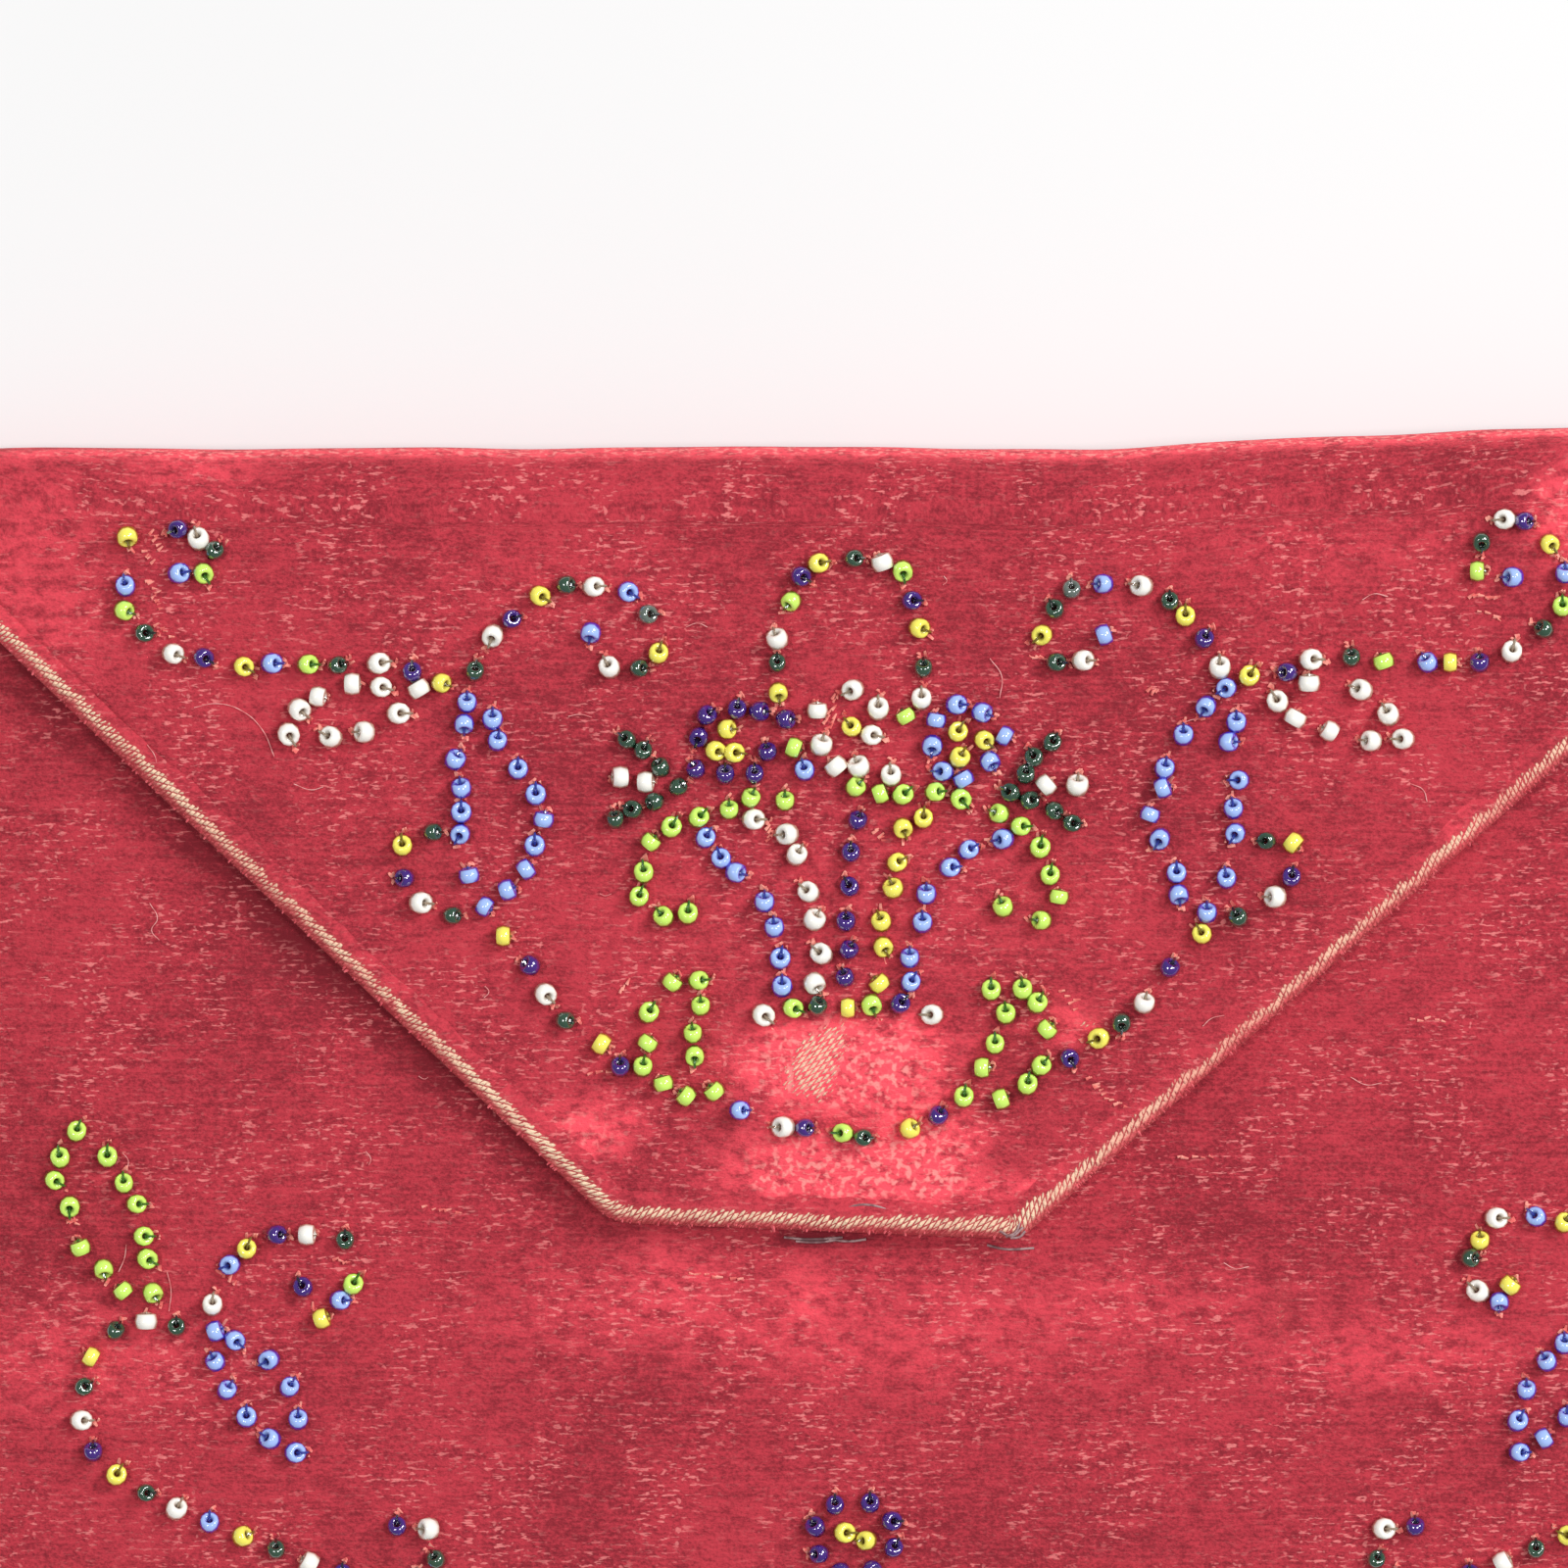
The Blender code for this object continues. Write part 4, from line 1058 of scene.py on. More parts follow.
FRONT_CHART = {
    "front_leaf_left": (
        "l123,1319,130 L103,1297,280 l79,1275,110 L68,1233,270 L52,1206,330 L58,1183,100 "
        "L75,1156,70 L107,1182,90 L124,1209,95 L137,1230,0 L144,1263,0 L148,1286,330 "
        "L154,1321,300"),
    "front_scroll_left": (
        "y90,1387,150 G115,1360,60 w147,1350,90 G178,1356,90 W215,1333,85 S233,1292,200 "
        "Y250,1276,70 C281,1261,0 w312,1261,0 G351,1267,90 L359,1312,60 S346,1328,0 "
        "y327,1347,20 C308,1315,120"),
    "front_blue_leaf_left": (
        "S238,1369,320 S273,1389,210 S294,1417,60 S303,1450,90 S300,1484,0 S274,1470,150 "
        "S250,1448,90 S230,1420,60 S218,1391,120 s218,1360,20"),
    "front_swag_left": (
        "G82,1418,30 W80,1452,0 C92,1484,90 Y116,1508,60 G146,1526,0 W178,1542,60 "
        "S212,1556,90 Y246,1570,20 G280,1584,90 w314,1597,150 C348,1609,90 Y383,1616,0 "
        "S418,1614,60 G444,1594,120 W436,1562,180 C404,1560,90"),
    "front_scroll_right": (
        "y1543,1313,50 S1532,1330,270 W1510,1319,140 G1502,1285,0 Y1512,1267,90 W1529,1244,0 "
        "S1570,1243,140 Y1599,1249,60 C1626,1265,0 W1644,1291,330 G1657,1322,0 S1688,1340,90 "
        "W1718,1352,60 Y1748,1366,20"),
    "front_blue_leaf_right": (
        "S1599,1373,90 S1581,1391,120 S1560,1420,90 S1551,1452,60 S1553,1484,0 s1578,1470,30 "
        "S1602,1448,90 S1620,1422,120 S1634,1393,90 S1630,1362,60"),
    "front_flower": (
        "C888,1536,90 C910,1554,0 C912,1582,60 C890,1604,330 C858,1606,200 C836,1588,180 "
        "C832,1560,120 C852,1538,90 Y862,1566,0 Y884,1574,180"),
}
FRONT_MIRROR_X = 925
SLOTS = {
    "garland": "ivory_glass", "white": "ivory_glass", "basket_rim": "ivory_glass",
    "blue": "sky_glass", "sky": "sky_glass", "lime": "lime_glass", "leaf": "lime_glass",
    "lower": "yellow_glass", "handle": "yellow_glass", "scroll": "yellow_glass",
    "green": "green_glass", "swag": "green_glass", "cobalt": "cobalt_glass",
    "front_flower": "cobalt_glass", "stave_1": "sky_glass", "stave_2": "ivory_glass",
    "stave_3": "cobalt_glass", "stave_4": "yellow_glass", "stave_5": "sky_glass",
}


@dataclass(frozen=True)
class Bead:
    """One bead of a motif: its colour and place, whether it lies on its side, and its heading."""

    kind: Glass
    x: float
    y: float
    on_side: bool
    heading: float


def read_chart(line: str, mirrored: bool = False) -> list[Bead]:
    """Read one motif of the chart.

    Args:
        line: Its beads, each a letter, a pixel and a heading.
        mirrored: Whether the motif is turned over to the front's other side.

    Returns:
        The beads in order.
    """
    beads = []
    for word in line.split():
        px, py, heading = (float(part) for part in word[1:].split(","))
        if mirrored:
            px, heading = 2 * FRONT_MIRROR_X - px, 180 - heading
        x, y = photo_place(px, py)
        beads.append(Bead(Glass[word[0].upper()], x, y, word[0].islower(), heading))
    return beads


def all_motifs() -> dict[str, list[Bead]]:
    """Every motif by the name of the node that it stands for."""
    motifs = {name: read_chart(line) for name, line in {**FLAP_CHART, **FRONT_CHART}.items()}
    for name in ("front_leaf_left", "front_swag_left"):
        motifs[name.replace("left", "right")] = read_chart(FRONT_CHART[name], mirrored=True)
    return motifs


def dimples(x: Array, y: Array, beads: list[Bead], reach: float = 0.0016) -> Array:
    """How far the pile is pressed down round the beads.

    Args:
        x: Places across the bag.
        y: Places along the bag.
        beads: The beads that press it.
        reach: How wide a dimple is.

    Returns:
        From 0 away from the beads to 1 right under one.
    """
    deepest = np.zeros_like(x)
    for bead in beads:
        near = (np.abs(x - bead.x) < 3 * reach) & (np.abs(y - bead.y) < 3 * reach)
        away = ((x[near] - bead.x) ** 2 + (y[near] - bead.y) ** 2) / reach ** 2
        deepest[near] = np.maximum(deepest[near], np.exp(-away))
    return deepest


@dataclass
class FoldedStrip:
    """Cloth that runs in one piece from the back over the fold to the flap.

    Each kind of cloth shapes the three parts in its own lay_flap, lay_fold and lay_back.
    """

    columns: int = 180
    flap_rows: int = 112
    fold_rows: int = 56
    back_rows: int = 48
    flap_inset: float = 0.0019
    pouch_inset: float = 0.0019

    def lay(self, name: str) -> tuple[Object, Array, Array, Array, Array]:
        """Lay the strip by its parts on the flap, on the fold and on the back.

        Args:
            name: The strip's name.

        Returns:
            The strip, its points' x, y and z, and their places along the cloth.
        """
        rows = self.flap_rows + self.fold_rows + self.back_rows
        strip, across, along = cloth_grid(name, self.columns, rows)
        row, side = along * rows, self.spread(2 * across - 1)
        fold_end = self.flap_rows + self.fold_rows
        on_fold = np.clip((row - self.flap_rows) / self.fold_rows, 0, 1)
        parts = zip(self.lay_flap((side + 1) / 2, np.clip(row / self.flap_rows, 0, 1)),
                    self.lay_fold(side, on_fold),
                    self.lay_back(side, np.clip((row - fold_end) / self.back_rows, 0, 1)))
        is_flap, is_back = row < self.flap_rows + 0.5, row > fold_end - 0.5
        x, y, z, path = (np.where(is_back, back, np.where(is_flap, flap, fold))
                         for flap, fold, back in parts)
        write_points(strip, x, y, z)
        write_value(strip, "turn", BAG.turn(x, 1 - on_fold))
        return strip, x, y, z, path

    def spread(self, side: Array) -> Array:
        """Where the columns stand, from -1 to 1: here evenly."""
        return side


@dataclass
class VelvetStrip(FoldedStrip):
    """The velvet of the back, the fold and the flap."""

    edge_drop: float = 0.0005
    edge_run: float = 0.0011
    back_run: float = 0.003
    flap_depth: float = 0.0710
    flap_slant: float = 0.69
    side_rag: tuple = ((0.00016, 2.4, 0), (0.00012, 5.3, 1))
    side_rag_share: float = 0.015
    tip_rag: tuple = ((0.00015, 260, 0), (0.0001, 140, 2))
    tip_rag_share: float = 0.006
    tip_round: float = 0.0005
    tip_rounds: tuple = (((600, 1205), 0.0045), ((1030, 1240), 0.0035))
    dimple: float = 0.00030
    dome: float = 0.00070
    dome_pixel: tuple[float, float] = (850, 1085)
    dome_reach: tuple[float, float] = (0.0112, 0.0058)
    crease: float = 0.00016
    small_crease: float = 0.00007
    seam_roll: float = 0.0016
    seam_rise: float = 0.00115
    fold_lead: float = 0.002
    fold_length: float = 0.0265
    back_ease: float = 0.004
    bare_slant: float = 0.25
    under: float = 0.006
    back_under: float = 0.004
    # These set the painted highlight along the fold's rim, which is partly real rubbing.
    rim_highlight_share: float = 2.0
    rim_highlight_width: float = 0.0010
    rim_highlight_from: float = 0.0090
    rim_highlight_rise: float = 0.0030
    seam_wear: float = 0.0030
    beads: list[Bead] = field(default_factory=list)

    def build(self, palette: Palette) -> Object:
        """Lay the strip, and return it."""
        strip, x, y, z, path = self.lay("velvet_strip")
        bare = wear_and_shadow_sum(FLAP_BARE, x - self.bare_slant * (y - BAG.snap[1]), y) * (z > self.under)
        paint_pile(strip, (x, path), self.wear(x, y, z), bare, (x, y), 0.75, 1.0)
        thicken(strip, BAG.velvet)
        shade(strip, palette.velvet)
        return register(strip, "velvet", "back_velvet", "fold_velvet", "flap_velvet")

    def spread(self, side: Array) -> Array:
        """Where the columns stand, from -1 to 1: closer towards both sides."""
        return crowd(side)

    def lay_flap(self, across: Array, along: Array) -> tuple[Array, ...]:
        """Lay the flap's part, with its ragged edges, its dome and its dimples.

        Args:
            across: From 0 at the left edge to 1 at the right.
            along: From 0 at the tip to 1 at the fold.

        Returns:
            Places across and along the bag, heights, and places along the cloth.
        """
        x, y = BAG.flap_patch(self.flap_inset, across, along)
        shift = ragged(self.side_rag, np.round(along * self.flap_rows))
        at_side = smooth((np.abs(2 * across - 1) - 1) / self.side_rag_share + 1)
        x = x + np.sign(across - 0.5) * shift * at_side
        y = y - ragged(self.tip_rag, across) * smooth(1 - along / self.tip_rag_share)
        y = y + self.tip_round * sum(bump_at(x, y, photo_place(*pixel), (reach, reach))
                                     for pixel, reach in self.tip_rounds)
        left, right = (BAG.flap_patch(self.flap_inset, np.full_like(x, end), along)[0]
                       for end in (0.0, 1.0))
        inside = np.minimum(across, 1 - across) * (right - left) * self.flap_slant
        inside = np.minimum(inside, along * self.flap_depth)
        z = BAG.flap_top(x, y) - self.edge_drop * (1 - smooth(inside / self.edge_run))
        z += self.dome * bump_at(x, y, photo_place(*self.dome_pixel), self.dome_reach)
        z += self.crease * ripple(x, y, 0.022, 5) + self.small_crease * ripple(x, y, 0.006, 6)
        z -= self.dimple * dimples(x, y, self.beads)
        return x, y + BAG.flap_waver(x, y), z, y

    def lay_fold(self, side: Array, along: Array) -> tuple[Array, ...]:
        """Lay the fold's part.

        Args:
            side: From -1 at the left edge to 1 at the right.
            along: From 0 at the flap to 1 at the back.

        Returns:
            Places across and along the bag, heights, and places along the cloth.
        """
        half = BAG.fold_half(self.flap_inset, self.pouch_inset, along * 1.5)
        x, share = side * half, 1 - along
        y, z = BAG.fold(x, share, 0.0)
        wave = self.crease * ripple(x, along * 0.03, 0.018, 8)
        drop = self.edge_drop * (1 - smooth((half - np.abs(x)) / self.edge_run))
        z = z + np.where(share > 0.5, wave - drop, drop)
        y = y + BAG.fold_waver(x, share) + wave * 0.6
        length = self.fold_lead + math.pi * BAG.fold_radius(x)
        return x, y, z, BAG.joint_y + along * length

    def lay_back(self, side: Array, along: Array) -> tuple[Array, ...]:
        """Lay the back's part, rolled up to its seams.

        Args:
            side: From -1 at the left edge to 1 at the right.
            along: From 0 at the fold to 1 at the bottom seam.

        Returns:
            Places across and along the bag, heights, and places along the cloth.
        """
        y = BAG.joint_y - (BAG.joint_y + BAG.half_length) * along
        half = BAG.seam_x(y) - self.pouch_inset * smooth((y - BAG.mouth_y) / self.back_ease + 1)
        x = side * half
        inside = np.maximum(0, BAG.seam_distance(x, y))
        share = np.clip(inside / self.seam_roll, 0, 1)
        roll = self.seam_rise * (1 - np.sqrt(1 - (1 - share) ** 2))
        below = smooth((BAG.mouth_y - y) / self.back_run)
        drop = self.edge_drop * (1 - smooth(inside / self.back_run))
        path = 2 * BAG.joint_y + self.fold_length - y
        return x, y, roll * below + drop * (1 - below), path

    def wear(self, x: Array, y: Array, z: Array) -> Array:
        """How far the pile is rubbed: the worn places, the fold's rim with its painted highlight, and
        the back's edges.
        """
        worn_and_painted_light = wear_and_shadow_sum(FLAP_WEAR, x, y) * (z > self.under)
        # The fold's rim: a bright line, partly rubbed pile and partly painted highlight, strongest on
        # its outer side.
        short = (BAG.half_length + BAG.edge_waver(x) - y) / self.rim_highlight_width
        rim = self.rim_highlight_share * np.exp(-short ** 2) * (0.85 + 0.2 * ripple(x, x * 0, 0.012, 9))
        worn_and_painted_light += rim * (0.12 + 0.88 * smooth((z - self.rim_highlight_from) / self.rim_highlight_rise))
        back = np.clip(1 - BAG.seam_distance(x, y) / self.seam_wear, 0, 1)
        cloudy = 0.12 * (1 + ripple(x, y, 0.04, 11))
        return worn_and_painted_light + np.where(z < self.back_under, 0.45 * back + cloudy, 0)


@dataclass
class PouchFront:
    """The front panel's velvet, rolled down to its seams and turned in along the mouth."""

    columns: int = 170
    rows: int = 126
    turn_rows: int = 9
    seam: float = 0.00125
    seam_roll: float = 0.0040
    crease: float = 0.00016
    small_crease: float = 0.00006
    dimple: float = 0.00028
    pucker: float = 0.00007
    pucker_pitch: float = 0.0042
    pucker_inset: float = 0.0012
    pucker_width: float = 0.001
    seam_wear: float = 0.0028
    cloth_shift: float = 0.4
    # These set the painted shadow that the flap casts along its left edge, where the pile is also
    # pressed dark.
    pressed_shadow_share: float = 0.38
    pressed_shadow_middle: float = 0.0012
    pressed_shadow_reach: float = 0.0046
    pressed_shadow_fade: tuple[float, float] = (0.020, 0.022)
    beads: list[Bead] = field(default_factory=list)

    def build(self, palette: Palette) -> Object:
        """Lay the panel, and return it."""
        rows = self.rows + self.turn_rows
        front, across, along = cloth_grid("front_velvet_panel", self.columns, rows)
        row = along * rows
        share = np.clip(row / self.rows, 0, 1)
        share = share - 0.10 * share * (1 - share) * (1 - 0.2 * share)
        turn = math.pi * np.clip((row - self.rows) / self.turn_rows, 0, 1)
        radius = BAG.panel / 2
        start, top = -BAG.half_length, BAG.mouth_y - radius
        y = start + (top - start) * share + radius * np.sin(turn)
        x = crowd(2 * across - 1) * BAG.seam_x(np.minimum(y, top))
        inside = np.clip(BAG.seam_distance(x, y), 0, None)
        rolled = np.sqrt(1 - (1 - np.clip(inside / self.seam_roll, 0, 1)) ** 2)
        high = BAG.front_top(x, np.minimum(y, top)) - radius * (1 - np.cos(turn))
        z = self.seam + (high - self.seam) * rolled
        z += rolled * (self.crease * ripple(x, y, 0.024, 15)
                       + self.small_crease * ripple(x, y, 0.007, 16))
        z -= self.dimple * dimples(x, y, self.beads)
        z += (self.pucker * np.sin((x + y) * 2 * math.pi / self.pucker_pitch)
              * np.exp(-((inside - self.pucker_inset) / self.pucker_width) ** 2))
        write_points(front, x, y, z)
        # Painted shadow: darker pile below the flap's tip and along its left edge, partly pile pressed
        # by the flap.
        worn_and_painted_light = wear_and_shadow_sum(FRONT_WEAR_AND_SHADOW, x, y) - self.pressed_and_shadowed(x, y)
        worn_and_painted_light += 0.6 * np.clip(1 - inside / self.seam_wear, 0, 1) + 0.45 * np.sin(turn)
        cloth = (x + self.cloth_shift, y + turn * radius)
        paint_pile(front, cloth, worn_and_painted_light, wear_and_shadow_sum(FRONT_BARE, x, y), (x, y), 0.35, 1.0)
        thicken(front, BAG.velvet)
        shade(front, palette.velvet)
        return register(front, "velvet", "front_velvet", body="pouch")

    def pressed_and_shadowed(self, x: Array, y: Array) -> Array:
        """How dark the pile is along the flap's left edge: the flap's painted shadow, with pile
        pressed by it.
        """
        start, end = (Vector(corner) for corner in BAG.flap_corners[:2])
        along = (end - start).normalized()
        away = (x - start.x) * along.y - (y - start.y) * along.x
        away = (away + 0.0006 * ripple(x, y, 0.012, 63) + self.pressed_shadow_middle) / self.pressed_shadow_reach
        before, run = self.pressed_shadow_fade
        fade = 1 - smooth((x - end.x + before) / run)
        return self.pressed_shadow_share * np.exp(-np.abs(away) ** 1.6) * fade


@dataclass(frozen=True)
class EdgeStop:
    """How the flap's edge is worn at one place along it, in millimetres from the edge."""

    at: float
    start: float
    end: float
    fade: float
    tone: float
    twill: float


# From the left top corner at 0 by the tip's corners at 1 and 2 to the right top corner at 3.
EDGE_STOPS = tuple(EdgeStop(*row) for row in (
    (0.00, 0.15, 1.35, 0.4, 1.00, 0.0), (0.40, 0.15, 1.30, 0.4, 0.95, 0.0),
    (0.50, 0.15, 1.10, 0.3, 0.75, 0.1), (0.80, 0.15, 1.20, 0.3, 0.85, 0.2),
    (0.91, 0.15, 1.35, 0.4, 0.95, 0.8), (1.00, 0.15, 1.50, 0.4, 1.00, 1.0),
    (1.12, 0.20, 1.30, 0.3, 0.95, 1.0), (1.44, 0.20, 1.25, 0.3, 0.90, 1.0),
    (1.47, 0.20, 1.60, 0.3, 0.95, 1.0), (1.50, 0.20, 1.20, 0.3, 0.90, 1.0),
    (1.72, 0.20, 1.40, 0.4, 0.90, 1.0), (2.00, 0.20, 1.70, 0.5, 0.85, 1.0),
    (2.06, 0.20, 1.20, 0.4, 0.70, 0.8), (2.25, 0.20, 1.00, 0.4, 0.45, 0.3),
    (2.60, 0.20, 1.10, 0.5, 0.60, 0.1), (3.00, 0.15, 1.15, 0.6, 0.80, 0.0),
))


@dataclass
class FlapHem:
    """The flap's turned edge, with its ground weave bare, on round the fold to the back."""

    step: float = 0.00014
    side_step: float = 0.0004
    side_run: float = 0.026
    side_ease: float = 0.35
    radius: float = 0.0014
    rounds: tuple[float, float] = (0.0052, 0.0028)
    back_end: float = 0.0500
    relief: float = 0.00004
    rib_pitch: float = 0.00044
    thickness: float = 0.00035
    upper_leaf: tuple = ((0.0036, 0.00062), (0.0028, 0.00028), (0.0023, 0.00012),
                         (0.0018, 0.00003))
    lower_leaf: tuple = ((0.0022, 0.00005), (0.0030, 0.00012))
    roll: tuple[float, float, int] = (80, -80, 11)
    end_rows: int = 22
    end_share: float = 0.35
    least_height: float = 0.00003
    bare_above: float = 0.0001
    back_shift: float = 0.05
    fringe_step: float = 0.00028
    fringe_gaps: float = 0.22
    fringe_top: float = 0.0585
    fringe_inset: tuple[float, float] = (-0.0001, 0.0004)
    fringe_height: tuple[float, float] = (0.00050, 0.00105)
    fringe_scatter: float = 0.00008
    tuft_foot: float = 0.00021
    tuft_end: float = 0.00007
    tuft_length: float = 0.0008

    def outline(self) -> list[tuple[Vector, Vector]]:
        """The flap's free edge in plan with its corners round: places and inward directions."""
        corners = [Vector(corner) for corner in BAG.flap_corners]
        runs = [(b - a).normalized() for a, b in zip(corners, corners[1:])]
        frames = []
        start = corners[0]
        for along, ahead, corner, radius in zip(runs, runs[1:], corners[1:], self.rounds):
            inward = Vector((-along.y, along.x))
            turn = abs(along.angle_signed(ahead))
            cut = radius * math.tan(turn / 2)
            end = corner - along * cut
            frames += self.straight(start, end, inward)
            count = max(3, round(radius * turn / self.step))
            centre = end + inward * radius
            for i in range(count):
                spun = Matrix.Rotation(turn * i / count, 2) @ inward
                frames.append((centre - spun * radius, spun))
            start = corner + ahead * cut
        inward = Vector((-runs[-1].y, runs[-1].x))
        return [*frames, *self.straight(start, corners[-1], inward), (corners[-1], inward)]

    def straight(self, start: Vector, end: Vector, inward: Vector) -> list[tuple]:
        """Steps along a straight run of the edge, without its end."""
        count = max(2, round((end - start).length / self.step))
        return [(start.lerp(end, i / count), inward) for i in range(count)]

    def side_frames(self, side: int, edge: Vector) -> list[tuple]:
        """The hem's way round the fold at one side, down to the back.

        Args:
            side: -1 at the left and 1 at the right.
            edge: Which way is inwards where the flap's edge ends.

        Returns:
            Steps, each as a place, two directions and its shares of the flap and the fold.
        """
        run = []
        count = round(self.side_run / self.side_step)
        x = np.array([side * BAG.half_width])
        for i in range(1, count + 1):
            share = np.array([1 - i / count])
            y, z = BAG.fold(x, share, self.radius)
            outer_y, outer_z = BAG.fold(x, share, 0.0)
            out = Vector((0, outer_y[0] - y[0], outer_z[0] - z[0])).normalized()
            turn = max(0.0, 1 - i / (count * self.side_ease))
            into = Vector((-side, 0, 0)).lerp(Vector((edge.x, edge.y, 0)), turn).normalized()
            place = (x[0], y[0] + BAG.fold_waver(x, share)[0], z[0])
            run.append((place, tuple(into), tuple(out), 0.0, share[0]))
        length = BAG.joint_y - self.back_end
        steps = round(length / self.side_step)
        for i in range(1, steps + 1):
            place = (x[0], BAG.joint_y - length * i / steps, self.radius)
            run.append((place, (-side, 0, 0), (0, 0, -1), 0.0, 0.0))
        return run

    def frames(self) -> tuple[Array, ...]:
        """The hem's places, inward and outward directions, and flap and fold shares."""
        flat = self.outline()
        flap = []
        for place, into in flat:
            x, y = np.array([place.x]), np.array([place.y])
            height = BAG.flap_top(x, y)[0] - self.radius
            place = (x[0], y[0] + BAG.flap_waver(x, y)[0], height)
            flap.append((place, (into.x, into.y, 0), (0, 0, 1), 1.0, 1.0))
        left = self.side_frames(-1, flat[0][1])[::-1]
        run = left + flap + self.side_frames(1, flat[-1][1])
        return tuple(np.array([frame[i] for frame in run]) for i in range(5))

    def section(self) -> Array:
        """The rolled edge's section: how far in and how high each of its points is."""
        r = self.radius
        arc = np.radians(np.linspace(*self.roll))
        return np.array([*((e, r - drop) for e, drop in self.upper_leaf),
                         *((r - r * math.cos(a), r * math.sin(a)) for a in arc),
                         *((e, drop - r) for e, drop in self.lower_leaf)])

    def build(self, palette: Palette) -> list[Object]:
        """Sweep the rolled edge along the outline, add its fringe, and return both."""
        places, inward, outward, on_flap, share = self.frames()
        section = self.section()
        last, last_row = len(section) - 1, len(places) - 1
        hem, across, along = cloth_grid("flap_hem", last, last_row)
        row = np.round(along * last_row).astype(int)
        e, h = section[np.round(across * last).astype(int)].T
        near_end = np.minimum(1.0, np.minimum(row, last_row - row) / self.end_rows)
        h = h * (self.end_share + (1 - self.end_share) * near_end)
        lengths = np.linalg.norm(np.diff(places, axis=0), axis=1)
        run = np.concatenate(([0], np.cumsum(lengths)))[row]
        spot, on_flap = places[row], on_flap[row]
        cx, cy = spot[:, 0], spot[:, 1]
        bare, tone, twill = self.worn_edge(cx, cy, e, h)
        bare = bare * on_flap
        ribs = -np.cos(2 * math.pi * run / self.rib_pitch) * (1 - twill) * bare
        puff = 0.00010 * ripple(cx, cy, 0.006, 21) + 0.00005 * ripple(cx, cy, 0.0015, 22)
        lift = (self.relief * ribs + puff) * np.where(h < 0, -1, 1)
        points = spot + inward[row] * e[:, None] + outward[row] * (h + lift)[:, None]
        points[:, 2] = np.maximum(points[:, 2], self.least_height)
        write_points(hem, *points.T)
        worn_and_painted_light = wear_and_shadow_sum(FLAP_WEAR, cx, cy) + 0.12 * (h > 0)
        path = np.where(on_flap > 0, points[:, 1], cy + self.back_shift + h)
        cloth = (points[:, 0], path)
        paint_pile(hem, cloth, worn_and_painted_light, bare, (run, e), tone, twill)
        write_value(hem, "turn", BAG.turn(cx, share[row]))
        flip(hem)
        thicken(hem, self.thickness)
        x, y, z = read_points(hem).T
        write_points(hem, x, y, np.maximum(z, 0.0))
        shade(hem, palette.velvet, 75)
        return [register(hem, "velvet"), self.fringe(palette)]

    def worn_edge(self, x: Array, y: Array, e: Array, h: Array) -> tuple[Array, Array, Array]:
        """Where the weave is bare along the edge, its tone and its kind.

        Args:
            x: The edge's places across the bag.
            y: Its places along the bag.
            e: How far inside the edge a point is.
            h: How high on the rolled edge it is.

        Returns:
            How bare each point is, how light its weave is, and whether it shows as cells.
        """
        left, right = BAG.flap_corners[1:3]
        down = np.minimum((BAG.joint_y - y) / (BAG.joint_y - left[1]), 1)
        across = (x - left[0]) / (right[0] - left[0])
        at = np.where(across < 0, down, np.where(across < 1, 1 + across, 3 - down))
        start, end, fade, tone, twill = (
            np.interp(at, [stop.at for stop in EDGE_STOPS],
                      [getattr(stop, name) for stop in EDGE_STOPS])
            for name in ("start", "end", "fade", "tone", "twill"))
        wander = 0.16 * ripple(x, y, 0.005, 33) + 0.12 * ripple(x, y, 0.0016, 34)
        depth = e * 1000 + wander
        outer = np.clip(1 + (depth - start) / 0.2, 0, 1)
        inner = np.clip(1 - (depth - end) / fade, 0, 1)
        tone = (tone + 0.20 * ripple(x, y, 0.009, 31)) * np.clip((depth - 0.50) / 0.18, 0, 1)
        return outer * inner * (h > self.bare_above), tone, twill

    def fringe(self, palette: Palette) -> Object:
        """Model the ragged pile along the outer edge, and return it."""
        deselect()
        bpy.ops.mesh.primitive_cone_add(vertices=4, radius1=self.tuft_foot,
                                        radius2=self.tuft_end, depth=self.tuft_length)
        tuft = bpy.context.object
        tuft.data.materials.append(palette.fibre[Fibre.FRINGE])
        draw = random.Random(12)
        stride = round(self.fringe_step / self.step)
        copies = []
        for place, into in self.outline()[::stride]:
            if draw.random() < self.fringe_gaps:
                continue
            e = draw.uniform(*self.fringe_inset)
            x, y = (a + b * e + draw.gauss(0, self.fringe_scatter) for a, b in zip(place, into))
            if y > self.fringe_top:
                continue
            z = height_at(BAG.flap_top, x, y) - self.radius + draw.uniform(*self.fringe_height)
            out = Vector((-into.x, -into.y, draw.uniform(0.0, 0.7))).normalized()
            out = (out + Vector((draw.gauss(0, 0.35), draw.gauss(0, 0.35), 0))).normalized()
            turn = out.to_track_quat("Z", "Y").to_matrix().to_4x4()
            size = Matrix.Scale(draw.uniform(0.6, 1.25), 4)
            copies.append(copy_part(tuft, Matrix.Translation((x, y, z)) @ turn @ size))
        bpy.data.objects.remove(tuft, do_unlink=True)
        return register(join(copies, "flap_fringe"), "velvet", body="flap")


